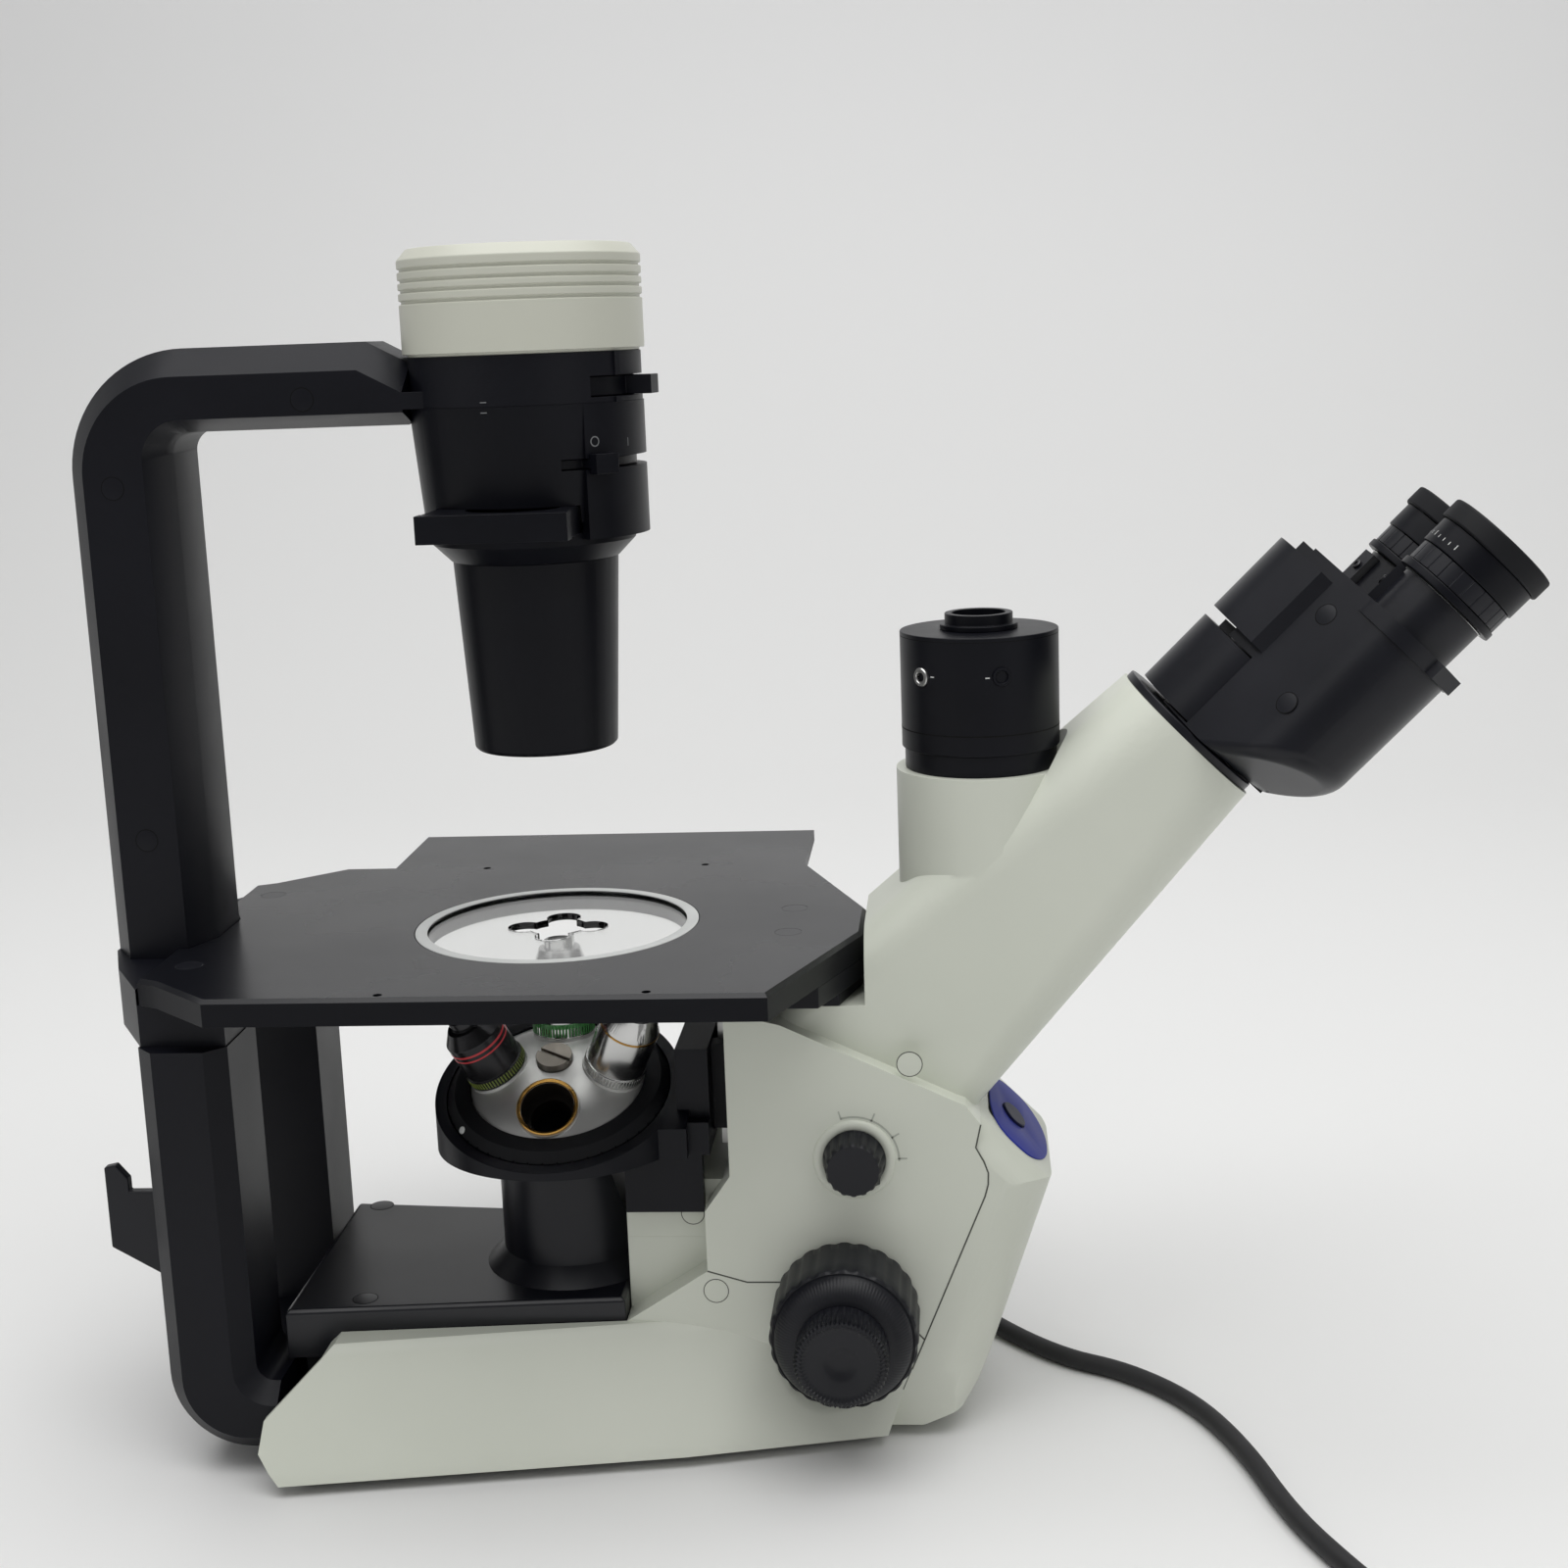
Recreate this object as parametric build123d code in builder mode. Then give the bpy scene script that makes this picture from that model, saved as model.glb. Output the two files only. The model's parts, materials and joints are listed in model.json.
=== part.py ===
from build123d import *
import math
import os

os.makedirs("parts", exist_ok=True)

# Fits and clearances, used wherever two pieces meet
run_fit = 0.05
slide_fit = 0.1
slip = 0.4
swing_gap = 0.7

# Shared frame: the optical axis is X = Y = 0, the bench is Z = 0, the user sits at +X
stage_top = 194.0
stage_thick = 10.0
stage_bottom = stage_top - stage_thick
insert_radius = 55.0
head_top = 190.0


def level(z, x=0.0, y=0.0):
    return Plane(origin=(x, y, z))


# Upright plane facing the camera side: its own x is X and its own y is Z
def side_plane(y, x=0.0, z=0.0):
    return Plane(origin=(x, y, z), x_dir=(1, 0, 0), z_dir=(0, -1, 0))


# Upright plane facing the user: its own x is Y and its own y is Z
def front_plane(x, y=0.0, z=0.0):
    return Plane(origin=(x, y, z), x_dir=(0, 1, 0), z_dir=(1, 0, 0))


def mirrored(points):
    return points + [(x, -y) for x, y in reversed(points)]


def polygon(points):
    Polygon(*points, align=None)


def polar(radius, angle):
    return (radius * math.cos(math.radians(angle)), radius * math.sin(math.radians(angle)))


def sector(radius, start, size):
    with BuildLine() as edge:
        Line((0, 0), polar(radius, start))
        CenterArc((0, 0), radius, start, size)
        Line(polar(radius, start + size), (0, 0))
    make_face(edge.edges())


# Turns an outline of radius and height about the optical axis
def turned(points):
    with BuildSketch(side_plane(0)) as outline:
        polygon(points)
    revolve(outline.sketch, axis=Axis.Z)


def save(block, name):
    block.part.label = name
    export_step(block.part, f"parts/{name}.step")


# Stage plate: octagon with a seat for the glass and a notch for the pillar
stage_half = [(-143, 69), (-135, 73), (-110, 96), (90, 96), (119.5, 18)]
stage_bevel = 1.5
seat_depth = 4.0
seat_lip = 5.0
stage_hole_x = 47.5
stage_hole_y = 92.0
stage_hole_radius = 1.65
plug_radius = 5.2
plug_depth = 1.5
stage_plug_spots = [(-129.5, 51.5), (-129.5, -51.5), (91.4, 17.3), (91.4, -17.3)]
pillar_half = 28.5
pillar_front = -131.5
pillar_side_front = -138.0
pillar_side_back = -161.0
pillar_back = -171.0
pillar_back_flat = 16.0
arm_middle = 13.0
notch_half = [
    (pillar_back, pillar_half + slip),
    (pillar_side_front + slip, pillar_half + slip),
    (pillar_front + slip, arm_middle + slip),
]

with BuildPart() as stage_plate:
    with BuildSketch(level(stage_bottom)):
        polygon(mirrored(stage_half))
    extrude(amount=stage_thick)
    chamfer(stage_plate.faces().sort_by(Axis.Z)[-1].edges(), stage_bevel)
    with BuildSketch(level(stage_top - seat_depth)):
        Circle(insert_radius + slip)
    extrude(amount=seat_depth, mode=Mode.SUBTRACT)
    with BuildSketch(level(stage_bottom)):
        Circle(insert_radius - seat_lip)
        polygon(mirrored(notch_half))
        with GridLocations(2 * stage_hole_x, 2 * stage_hole_y, 2, 2):
            Circle(stage_hole_radius)
    extrude(amount=stage_thick, mode=Mode.SUBTRACT)
    with BuildSketch(level(stage_top - plug_depth)):
        with Locations(*stage_plug_spots):
            Circle(plug_radius)
    extrude(amount=plug_depth, mode=Mode.SUBTRACT)
save(stage_plate, "stage_plate")

with BuildPart() as stage_plugs:
    with BuildSketch(level(stage_top - plug_depth)):
        with Locations(*stage_plug_spots):
            Circle(plug_radius - run_fit)
    extrude(amount=plug_depth)
save(stage_plugs, "stage_plugs")

# Clear insert with a low rim, flush with the stage, and a lobed window over the objective
insert_rim = 4.0
insert_step = 1.2
window_radius = 11.0
lobe_radius = 6.5
lobe_reach = 13.0
with BuildPart() as stage_insert:
    with BuildSketch(level(stage_top - seat_depth)):
        Circle(insert_radius)
    extrude(amount=seat_depth)
    with BuildSketch(level(stage_top - insert_step)):
        Circle(insert_radius - insert_rim)
    extrude(amount=insert_step, mode=Mode.SUBTRACT)
    with BuildSketch(level(stage_top - seat_depth)):
        Circle(window_radius)
        with PolarLocations(lobe_reach, 4):
            Circle(lobe_radius)
    extrude(amount=seat_depth, mode=Mode.SUBTRACT)
save(stage_insert, "stage_insert")

# Side extension plate on the far edge, held by a lip under the stage
extension_half = 90.0
extension_near = 96.0
extension_far = 161.0
extension_top = 192.5
extension_thick = 5.0
lip_near = 85.0
lip_far = 101.0
lip_thick = 4.0
with BuildPart() as extension_plate:
    with BuildSketch(front_plane(-extension_half)):
        polygon([
            (lip_near, stage_bottom),
            (lip_near, stage_bottom - lip_thick),
            (lip_far, stage_bottom - lip_thick),
            (lip_far, extension_top - extension_thick),
            (extension_far, extension_top - extension_thick),
            (extension_far, extension_top),
            (extension_near, extension_top),
            (extension_near, stage_bottom),
        ])
    extrude(amount=2 * extension_half)
    with BuildSketch(level(stage_bottom - lip_thick)):
        with Locations((-stage_hole_x, stage_hole_y), (stage_hole_x, stage_hole_y)):
            Circle(stage_hole_radius)
    extrude(amount=lip_thick, mode=Mode.SUBTRACT)
save(extension_plate, "extension_plate")

# Two screws hold the extension plate through the stage
with BuildPart() as stage_screws:
    with BuildSketch(level(stage_bottom - lip_thick)):
        with Locations((-stage_hole_x, stage_hole_y), (stage_hole_x, stage_hole_y)):
            Circle(stage_hole_radius - run_fit)
    extrude(amount=stage_thick + lip_thick - stage_bevel)
save(stage_screws, "stage_screws")

# Bracket under the stage front: a wide pad flush with the stage, on a narrower foot
bracket_bottom = 170.0
bracket_step = 176.0
bracket_back = 70.0
bracket_tip = 18.0
pad_half = 57.0
foot_pad_half = 35.0
foot_pad_front = 118.5
foot_pad_side = 111.0
foot_pad_tip = 8.0


# Distance along X of the stage's slanted front edge at a given half width
def slant_edge(y):
    (back, half), (front, tip) = stage_half[-2:]
    return front - (y - tip) * (front - back) / (half - tip)


with BuildPart() as stage_bracket:
    with BuildSketch(level(bracket_step)):
        polygon(mirrored([(bracket_back, pad_half), (slant_edge(pad_half), pad_half), (slant_edge(bracket_tip), bracket_tip)]))
    extrude(amount=stage_bottom - bracket_step)
    with BuildSketch(level(bracket_bottom)):
        polygon(mirrored([
            (bracket_back, foot_pad_half), (foot_pad_side, foot_pad_half), (foot_pad_front, foot_pad_tip),
        ]))
    extrude(amount=bracket_step - bracket_bottom)
save(stage_bracket, "stage_bracket")

# Upper arm: pillar and arm share one faceted section that turns the corner
arm_top = 418.5
arm_under = 388.0
arm_side_under = 393.0
arm_ramp_start = -56.0
arm_ramp_end = -40.0
arm_ramp_drop = 8.5
corner_outer = 46.0
corner_inner = 8.0
ring_bottom = 394.0
ring_height = 18.0
ring_top = ring_bottom + ring_height
ring_radius = 43.0
light_bore = 34.0
lever_rise = 2.0
lever_slot = 7.5
lever_floor = ring_bottom + lever_rise
lever_roof = lever_floor + lever_slot
lever_chamber = 40.5
lens_shelf = 1.0
lens_ledge = lever_roof + lens_shelf
lens_pocket = 37.0
field_window = (-47.0, 78.0)
rib_angle = -30.0
rib_half = 1.5
rib_out = 0.8


# One slice of the arm, drawn smaller towards the sides to leave the facets
def arm_slice(y, cut_out, cut_in, cut_under):
    back = pillar_back + cut_out
    top = arm_top - cut_out
    front = pillar_front - cut_in
    under = arm_under + cut_under
    turn = corner_inner + cut_in
    bend = (pillar_back + corner_outer, arm_top - corner_outer)
    with BuildSketch(side_plane(y)) as cut:
        with BuildLine():
            Line((back, head_top), (back, bend[1]))
            CenterArc(bend, corner_outer - cut_out, 180, -90)
            Line((bend[0], top), (arm_ramp_start, top))
            Line((arm_ramp_start, top), (arm_ramp_end, top - arm_ramp_drop))
            Line((arm_ramp_end, top - arm_ramp_drop), (arm_ramp_end, under))
            Line((arm_ramp_end, under), (front + turn, under))
            CenterArc((front + turn, under - turn), turn, 90, 90)
            Line((front, under - turn), (front, head_top))
            Line((front, head_top), (back, head_top))
        make_face()
    return cut.sketch


side_cut_out = pillar_side_back - pillar_back
side_cut_in = pillar_front - pillar_side_front
side_cut_under = arm_side_under - arm_under
with BuildPart() as upper_arm:
    extrude(arm_slice(0, 0, 0, 0), amount=arm_middle, both=True)
    for way in (-1, 1):
        middle = arm_slice(way * arm_middle, 0, 0, 0)
        side = arm_slice(way * pillar_half, side_cut_out, side_cut_in, side_cut_under)
        loft([middle, side], ruled=True)
    with BuildSketch(level(ring_bottom)):
        Circle(ring_radius)
        with Locations((arm_ramp_end, 0)):
            Rectangle(ring_radius / 2, 2 * pillar_half)
    extrude(amount=arm_top - side_cut_out - arm_ramp_drop - ring_bottom)
    with BuildSketch(level(ring_bottom)):
        Circle(ring_radius)
    extrude(amount=ring_height)
    with BuildSketch(level(ring_bottom, *polar(ring_radius, rib_angle)).rotated((0, 0, rib_angle))):
        Rectangle(2 * rib_out, 2 * rib_half)
    extrude(amount=ring_height)
    with BuildSketch(level(ring_top)):
        Circle(ring_radius + slip)
    extrude(amount=side_cut_out, mode=Mode.SUBTRACT)
    with BuildSketch(level(arm_under)):
        Circle(ring_radius + slip)
    extrude(amount=ring_bottom - arm_under, mode=Mode.SUBTRACT)
    with BuildSketch(level(ring_bottom)):
        Circle(light_bore)
    extrude(amount=ring_height, mode=Mode.SUBTRACT)
    with BuildSketch(level(lever_floor)):
        Circle(lever_chamber)
        sector(2 * ring_radius, *field_window)
    extrude(amount=lever_slot, mode=Mode.SUBTRACT)
    with BuildSketch(level(lens_ledge)):
        Circle(lens_pocket)
    extrude(amount=ring_top - lens_ledge, mode=Mode.SUBTRACT)
save(upper_arm, "upper_arm")

# Field diaphragm lever: a ring in the arm head with one finger tab
lever_wall = 2.5
lever_play = 0.3
tab_half = 5.0
field_tab_end = 49.5
field_tab_angle = -8.0
with BuildPart() as field_lever:
    with BuildSketch(level(lever_floor + lever_play)):
        Circle(lever_chamber - lever_play)
        with Locations(Rotation(0, 0, field_tab_angle)):
            with Locations(((lever_chamber + field_tab_end) / 2 - lever_wall, 0)):
                Rectangle(field_tab_end - lever_chamber + 2 * lever_wall, 2 * tab_half)
        Circle(light_bore, mode=Mode.SUBTRACT)
    extrude(amount=lever_slot - 2 * lever_play)
save(field_lever, "field_lever")

# Lamp cap: off-white drum with four grooves near the top
cap_radius = 44.5
cap_gap = 1.0
cap_side = 33.5
cap_crown = 4.0
cap_bottom = ring_top + cap_gap
cap_shoulder = cap_bottom + cap_side
cap_top = cap_shoulder + cap_crown
cap_bevel = 3.6
cap_wall = 3.5
groove_drops = [3.6, 7.5, 11.1, 15.0]
groove_half = 0.6
groove_depth = 0.9
spigot_outer = 42.6
spigot_inner = 38.5
cap_outline = [
    (0, cap_top),
    (0, cap_top - cap_wall),
    (cap_radius - cap_wall, cap_top - cap_wall),
    (cap_radius - cap_wall, cap_bottom + cap_wall),
    (spigot_inner, cap_bottom + cap_wall),
    (spigot_inner, ring_top),
    (spigot_outer, ring_top),
    (spigot_outer, cap_bottom),
    (cap_radius, cap_bottom),
]
for drop in reversed(groove_drops):
    cap_outline += [
        (cap_radius, cap_shoulder - drop - groove_half),
        (cap_radius - groove_depth, cap_shoulder - drop - groove_half),
        (cap_radius - groove_depth, cap_shoulder - drop + groove_half),
        (cap_radius, cap_shoulder - drop + groove_half),
    ]
cap_outline += [(cap_radius, cap_shoulder), (cap_radius - cap_bevel, cap_top)]
with BuildPart() as lamp_cap:
    turned(cap_outline)
save(lamp_cap, "lamp_cap")

# Lamp: a heat sink under the cap roof with the light source in its middle
sink_radius = 36.0
sink_height = 11.0
emitter_radius = 6.0
emitter_height = 5.0
with BuildPart() as led_module:
    with BuildSketch(level(cap_top - cap_wall - sink_height)):
        Circle(sink_radius)
    extrude(amount=sink_height)
    with BuildSketch(level(cap_top - cap_wall - sink_height - emitter_height)):
        Circle(emitter_radius)
    extrude(amount=emitter_height)
save(led_module, "led_module")

with BuildPart() as collector_lens:
    with BuildSketch(level(lens_ledge)):
        Circle(lens_pocket - slip)
    extrude(amount=ring_top - lens_ledge - slip)
save(collector_lens, "collector_lens")

# Condenser body: tapered drum, fuller on the user's side, with a slider slot
condenser_height = 57.0
condenser_hip = 6.5
condenser_collar = 15.0
condenser_bottom = ring_bottom - condenser_height
condenser_waist = condenser_bottom + condenser_collar
condenser_top_radius = 43.4
condenser_low_radius = 40.0
condenser_neck_radius = 31.5
condenser_hip_radius = 38.0
condenser_bore = 28.0
condenser_block = (-52.0, 104.0)
block_rise = 8.7
iris_rise = 33.6
iris_slot = 4.0
iris_floor = condenser_bottom + iris_rise
iris_roof = iris_floor + iris_slot
iris_chamber = 40.0
iris_inner = 33.0
iris_window = (-64.0, 118.0)
slider_center = -3.4
slider_half = 27.0
slider_rise = 11.0
slider_bottom = condenser_bottom + slider_rise
slider_thick = 10.0
with BuildPart() as condenser_body:
    turned([
        (0, condenser_bottom),
        (condenser_neck_radius, condenser_bottom),
        (condenser_hip_radius, condenser_bottom + condenser_hip),
        (condenser_hip_radius, condenser_waist),
        (condenser_low_radius, condenser_waist),
        (condenser_top_radius, ring_bottom),
        (0, ring_bottom),
    ])
    with BuildSketch(level(condenser_bottom + block_rise)):
        sector(condenser_top_radius, *condenser_block)
    extrude(amount=condenser_height - block_rise)
    with BuildSketch(level(condenser_bottom)):
        Circle(condenser_bore)
    extrude(amount=condenser_height, mode=Mode.SUBTRACT)
    with BuildSketch(level(iris_floor)):
        Circle(iris_chamber)
        sector(2 * iris_chamber, *iris_window)
    extrude(amount=iris_slot, mode=Mode.SUBTRACT)
    with BuildSketch(side_plane(0, slider_center, slider_bottom + slider_thick / 2)):
        Rectangle(2 * (slider_half + slide_fit), slider_thick + 2 * slide_fit)
    extrude(amount=2 * condenser_top_radius, both=True, mode=Mode.SUBTRACT)
save(condenser_body, "condenser_body")

# Aperture iris lever: a thin ring in the slot with a thicker finger tab outside
iris_tab_end = 48.0
iris_tab_angle = -44.0
iris_tab_root = condenser_top_radius + slip
tab_lip = 1.6
with BuildPart() as aperture_lever:
    with BuildSketch(level(iris_floor + lever_play)):
        Circle(iris_chamber - lever_play)
        with Locations(Rotation(0, 0, iris_tab_angle)):
            with Locations(((iris_chamber + iris_tab_end) / 2 - lever_wall, 0)):
                Rectangle(iris_tab_end - iris_chamber + 2 * lever_wall, 2 * tab_half)
        Circle(iris_inner, mode=Mode.SUBTRACT)
    extrude(amount=iris_slot - 2 * lever_play)
    with BuildSketch(level(iris_floor - tab_lip)):
        with Locations(Rotation(0, 0, iris_tab_angle)):
            with Locations(((iris_tab_root + iris_tab_end) / 2, 0)):
                Rectangle(iris_tab_end - iris_tab_root, 2 * tab_half)
    extrude(amount=iris_slot + 2 * tab_lip)
save(aperture_lever, "aperture_lever")

# Phase slider: a plate with an open hole and a recessed annulus seat
slider_front = -62.0
slider_back = 60.0
slider_grip = 8.0
slider_step = 1.0
annulus_pitch = 38.0
annulus_radius = 12.0
annulus_seat = 17.0
annulus_depth = 2.0
with BuildPart() as phase_slider:
    with BuildSketch(side_plane(slider_front, slider_center, slider_bottom + slider_thick / 2)):
        Rectangle(2 * slider_half, slider_thick)
    extrude(amount=-slider_grip)
    with BuildSketch(side_plane(slider_front, slider_center, slider_bottom + slider_thick / 2)):
        Rectangle(2 * (slider_half - slider_step), slider_thick)
    extrude(amount=slider_front - slider_back)
    with BuildSketch(level(slider_bottom)):
        with Locations((0, 0), (0, -annulus_pitch)):
            Circle(annulus_radius)
    extrude(amount=slider_thick, mode=Mode.SUBTRACT)
    with BuildSketch(level(slider_bottom + slider_thick - annulus_depth)):
        with Locations((0, -annulus_pitch)):
            Circle(annulus_seat)
    extrude(amount=annulus_depth, mode=Mode.SUBTRACT)
save(phase_slider, "phase_slider")

# Condenser cone with a lens resting on a ledge at its lower end
cone_length = 72.0
cone_bottom = condenser_bottom - cone_length
cone_top_radius = 31.0
cone_end_radius = 27.2
cone_edge = 1.2
cone_wall = 3.2
cone_lip = 4.0
lens_stop = cone_bottom + cone_lip
lens_stop_radius = 21.0
lens_radius = 23.5
lens_height = 6.0
with BuildPart() as condenser_cone:
    turned([
        (cone_top_radius, condenser_bottom),
        (cone_end_radius, cone_bottom + cone_edge),
        (cone_end_radius - cone_edge, cone_bottom),
        (lens_stop_radius, cone_bottom),
        (lens_stop_radius, lens_stop),
        (cone_end_radius - cone_wall, lens_stop),
        (cone_top_radius - cone_wall + slip, condenser_bottom),
    ])
save(condenser_cone, "condenser_cone")

with BuildPart() as condenser_lens:
    with BuildSketch(level(lens_stop)):
        Circle(lens_radius)
    extrude(amount=lens_height)
save(condenser_lens, "condenser_lens")

# Lower frame: a head under the pillar and two legs that turn into feet
head_bottom = 168.0
head_half = [(pillar_back, pillar_back_flat), (-161, 41), (-144, 69)]
head_front = -112.0
leg_front = -111.5
leg_back = -145.0
leg_inner = 37.0
leg_face = 69.0
leg_outer = 76.0
leg_facet = 7.0
foot_bottom = 9.0
foot_top = 36.0
foot_end = -102.5
heel_radius = 30.0
instep_radius = 7.0
tie_back = -138.0
tie_front = 20.0
tie_half = 45.0
tie_bottom = 5.0
tie_top = 20.0
rib_back = -84.0
rib_front = -24.0
rib_inner = 26.0
rib_outer = 32.0
deck_top = 56.7
wide = 120.0
deck_wall = 3.0


# One slice of a leg and its foot, drawn smaller on the outer side
def leg_slice(y, cut):
    back = leg_back + cut
    front = leg_front - cut
    low = foot_bottom + cut
    high = foot_top - cut
    turn = instep_radius + cut
    with BuildSketch(side_plane(y)) as slice_face:
        with BuildLine():
            Line((back, head_bottom), (back, foot_bottom + heel_radius))
            CenterArc((leg_back + heel_radius, foot_bottom + heel_radius), heel_radius - cut, 180, 90)
            Line((leg_back + heel_radius, low), (foot_end, low))
            Line((foot_end, low), (foot_end, high))
            Line((foot_end, high), (front + turn, high))
            CenterArc((front + turn, high + turn), turn, 270, -90)
            Line((front, high + turn), (front, head_bottom))
            Line((front, head_bottom), (back, head_bottom))
        make_face()
    return slice_face.sketch


with BuildPart() as lower_frame:
    with BuildSketch(level(head_bottom)):
        polygon(mirrored(head_half + [(head_front, leg_face)]))
    extrude(amount=stage_bottom - head_bottom)
    with BuildSketch(level(stage_bottom)):
        polygon(mirrored(head_half))
        polygon(mirrored([
            (pillar_side_back, pillar_half),
            (pillar_side_front, pillar_half),
            (pillar_front, arm_middle),
        ]))
    extrude(amount=head_top - stage_bottom)
    for way in (-1, 1):
        extrude(leg_slice(way * leg_inner, 0), amount=-way * (leg_face - leg_inner))
        loft([leg_slice(way * leg_face, 0), leg_slice(way * leg_outer, leg_facet)], ruled=True)
    with BuildSketch(level(tie_bottom)):
        polygon(mirrored([(tie_back, tie_half), (foot_end, tie_half), (tie_front, leg_inner)]))
    extrude(amount=tie_top - tie_bottom)
    with BuildSketch(level(tie_top)):
        for way in (-1, 1):
            with Locations(((rib_back + rib_front) / 2, way * (rib_inner + rib_outer) / 2)):
                Rectangle(rib_front - rib_back, rib_outer - rib_inner)
    extrude(amount=deck_top - deck_wall - tie_top)
save(lower_frame, "lower_frame")

# Cord hook: a bent plate on the back of the near leg
hook_y = -55.0
hook_thick = 4.0
hook_outline = [
    (leg_back, 107), (-159, 107), (-159, 112), (-163.5, 117.5), (-168, 116.5),
    (-168, 84.5), (leg_back, 71),
]
with BuildPart() as cord_hook:
    with BuildSketch(side_plane(hook_y)):
        polygon(hook_outline)
    extrude(amount=hook_thick / 2, both=True)
save(cord_hook, "cord_hook")

# Deck: a black tray over the tie plate, tapering towards the body
deck_back = -104.3
deck_front = 25.6
deck_back_half = 53.5
deck_front_half = 42.0
deck_low = 37.0
column_radius = 28.5
column_front = 25.4
column_knee = 73.0
column_brow = 19.0
column_top = 100.0
column_bore = 15.0
column_foot = 7.0
beam_z = 34.0
beam_radius = 12.0
with BuildPart() as deck:
    with BuildSketch(level(deck_low)):
        polygon(mirrored([(deck_back, deck_back_half), (deck_front, deck_front_half)]))
    extrude(amount=deck_top - deck_low)
    chamfer(deck.faces().sort_by(Axis.Z)[-1].edges(), stage_bevel)
    with BuildSketch(level(deck_low)):
        polygon(mirrored([
            (deck_back + deck_wall, deck_back_half - deck_wall),
            (deck_front - deck_wall, deck_front_half - deck_wall),
        ]))
    extrude(amount=deck_top - deck_wall - deck_low, mode=Mode.SUBTRACT)
    with BuildSketch(level(deck_low)):
        Circle(column_bore)
    extrude(amount=deck_top - deck_low, mode=Mode.SUBTRACT)
    with BuildSketch(front_plane(deck_front - 2 * deck_wall, 0, beam_z)):
        Circle(beam_radius)
    extrude(amount=3 * deck_wall, mode=Mode.SUBTRACT)
save(deck, "deck")

# Light column: round tower over the mirror with a spreading foot, cut by a leaning front face
with BuildPart() as light_column:
    for height, spread in ((column_top - deck_top, 0), (column_foot, column_foot)):
        with BuildSketch(level(deck_top)):
            Circle(column_radius + spread)
        extrude(amount=height, taper=45 if spread else 0)
    with BuildSketch(level(deck_top)):
        Circle(column_bore)
    extrude(amount=column_top - deck_top, mode=Mode.SUBTRACT)
    with BuildSketch(side_plane(0)):
        polygon([
            (column_front, 0), (column_front, column_knee), (column_brow, column_top),
            (column_brow, wide), (wide, wide), (wide, 0),
        ])
    extrude(amount=wide, both=True, mode=Mode.SUBTRACT)
save(light_column, "light_column")

# Folding mirror on the tie plate, turning the light towards the body
mirror_half = 14.0
with BuildPart() as fold_mirror:
    with BuildSketch(side_plane(0)):
        polygon([(-mirror_half, tie_top), (mirror_half, tie_top), (-mirror_half, tie_top + 2 * mirror_half)])
    extrude(amount=mirror_half, both=True)
save(fold_mirror, "fold_mirror")

# Base shell: flared skirts beside the deck, and a block that carries the body
shell_bottom = 5.0
skirt_levels = [(shell_bottom, 0.0), (10.0, 1.5), (43.5, 22.5), (47.5, 27.5)]
skirt_half = [(-112, 94.5), (50, 69), (140, 48.5)]
skirt_wall = 3.0
skirt_end = [(-130, 60), (-83, 60), (-83, 47.5), (-106, 26), (-107, 16), (-99, 5), (-99, 0), (-130, 0)]
cavity_mouth = (-130.0, 97.3)
cavity_stop = (21.0, 73.6)
body_half = 43.0
core_half = 30.0
core_back = 26.0
seam_corner = (58.0, 68.0)
seam_left = (57.5, 76.5)
seam_low = [(73.0, 63.5), (118.0, 63.5)]
cover_seam = [(125.3, 5.0), (139.8, 40.0), (163.6, 97.7), (165.0, 107.0), (160.5, 117.0), (162.5, 126.0)]
cover_far = 230.0
knob_x = 110.7
knob_z = 53.3
dish_radius = 33.0
dish_flare = 14.0
dish_depth = 20.0
coarse_shaft_radius = 6.0
machine_back = 32.0
machine_front = 121.0
machine_half = 36.0
machine_top = 60.5
throat_front = 70.0
throat_half = 24.0
throat_top = 44.0
tube_lens_radius = 10.0
tube_lens_ledge = 29.5
inlet_x = 70.0
inlet_z = 17.0
inlet_radius = 9.0


def skirt_outline(z, points, pull):
    with BuildSketch(level(z)) as outline:
        polygon(mirrored([(x, y - pull) for x, y in points]))
    return outline.sketch


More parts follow.
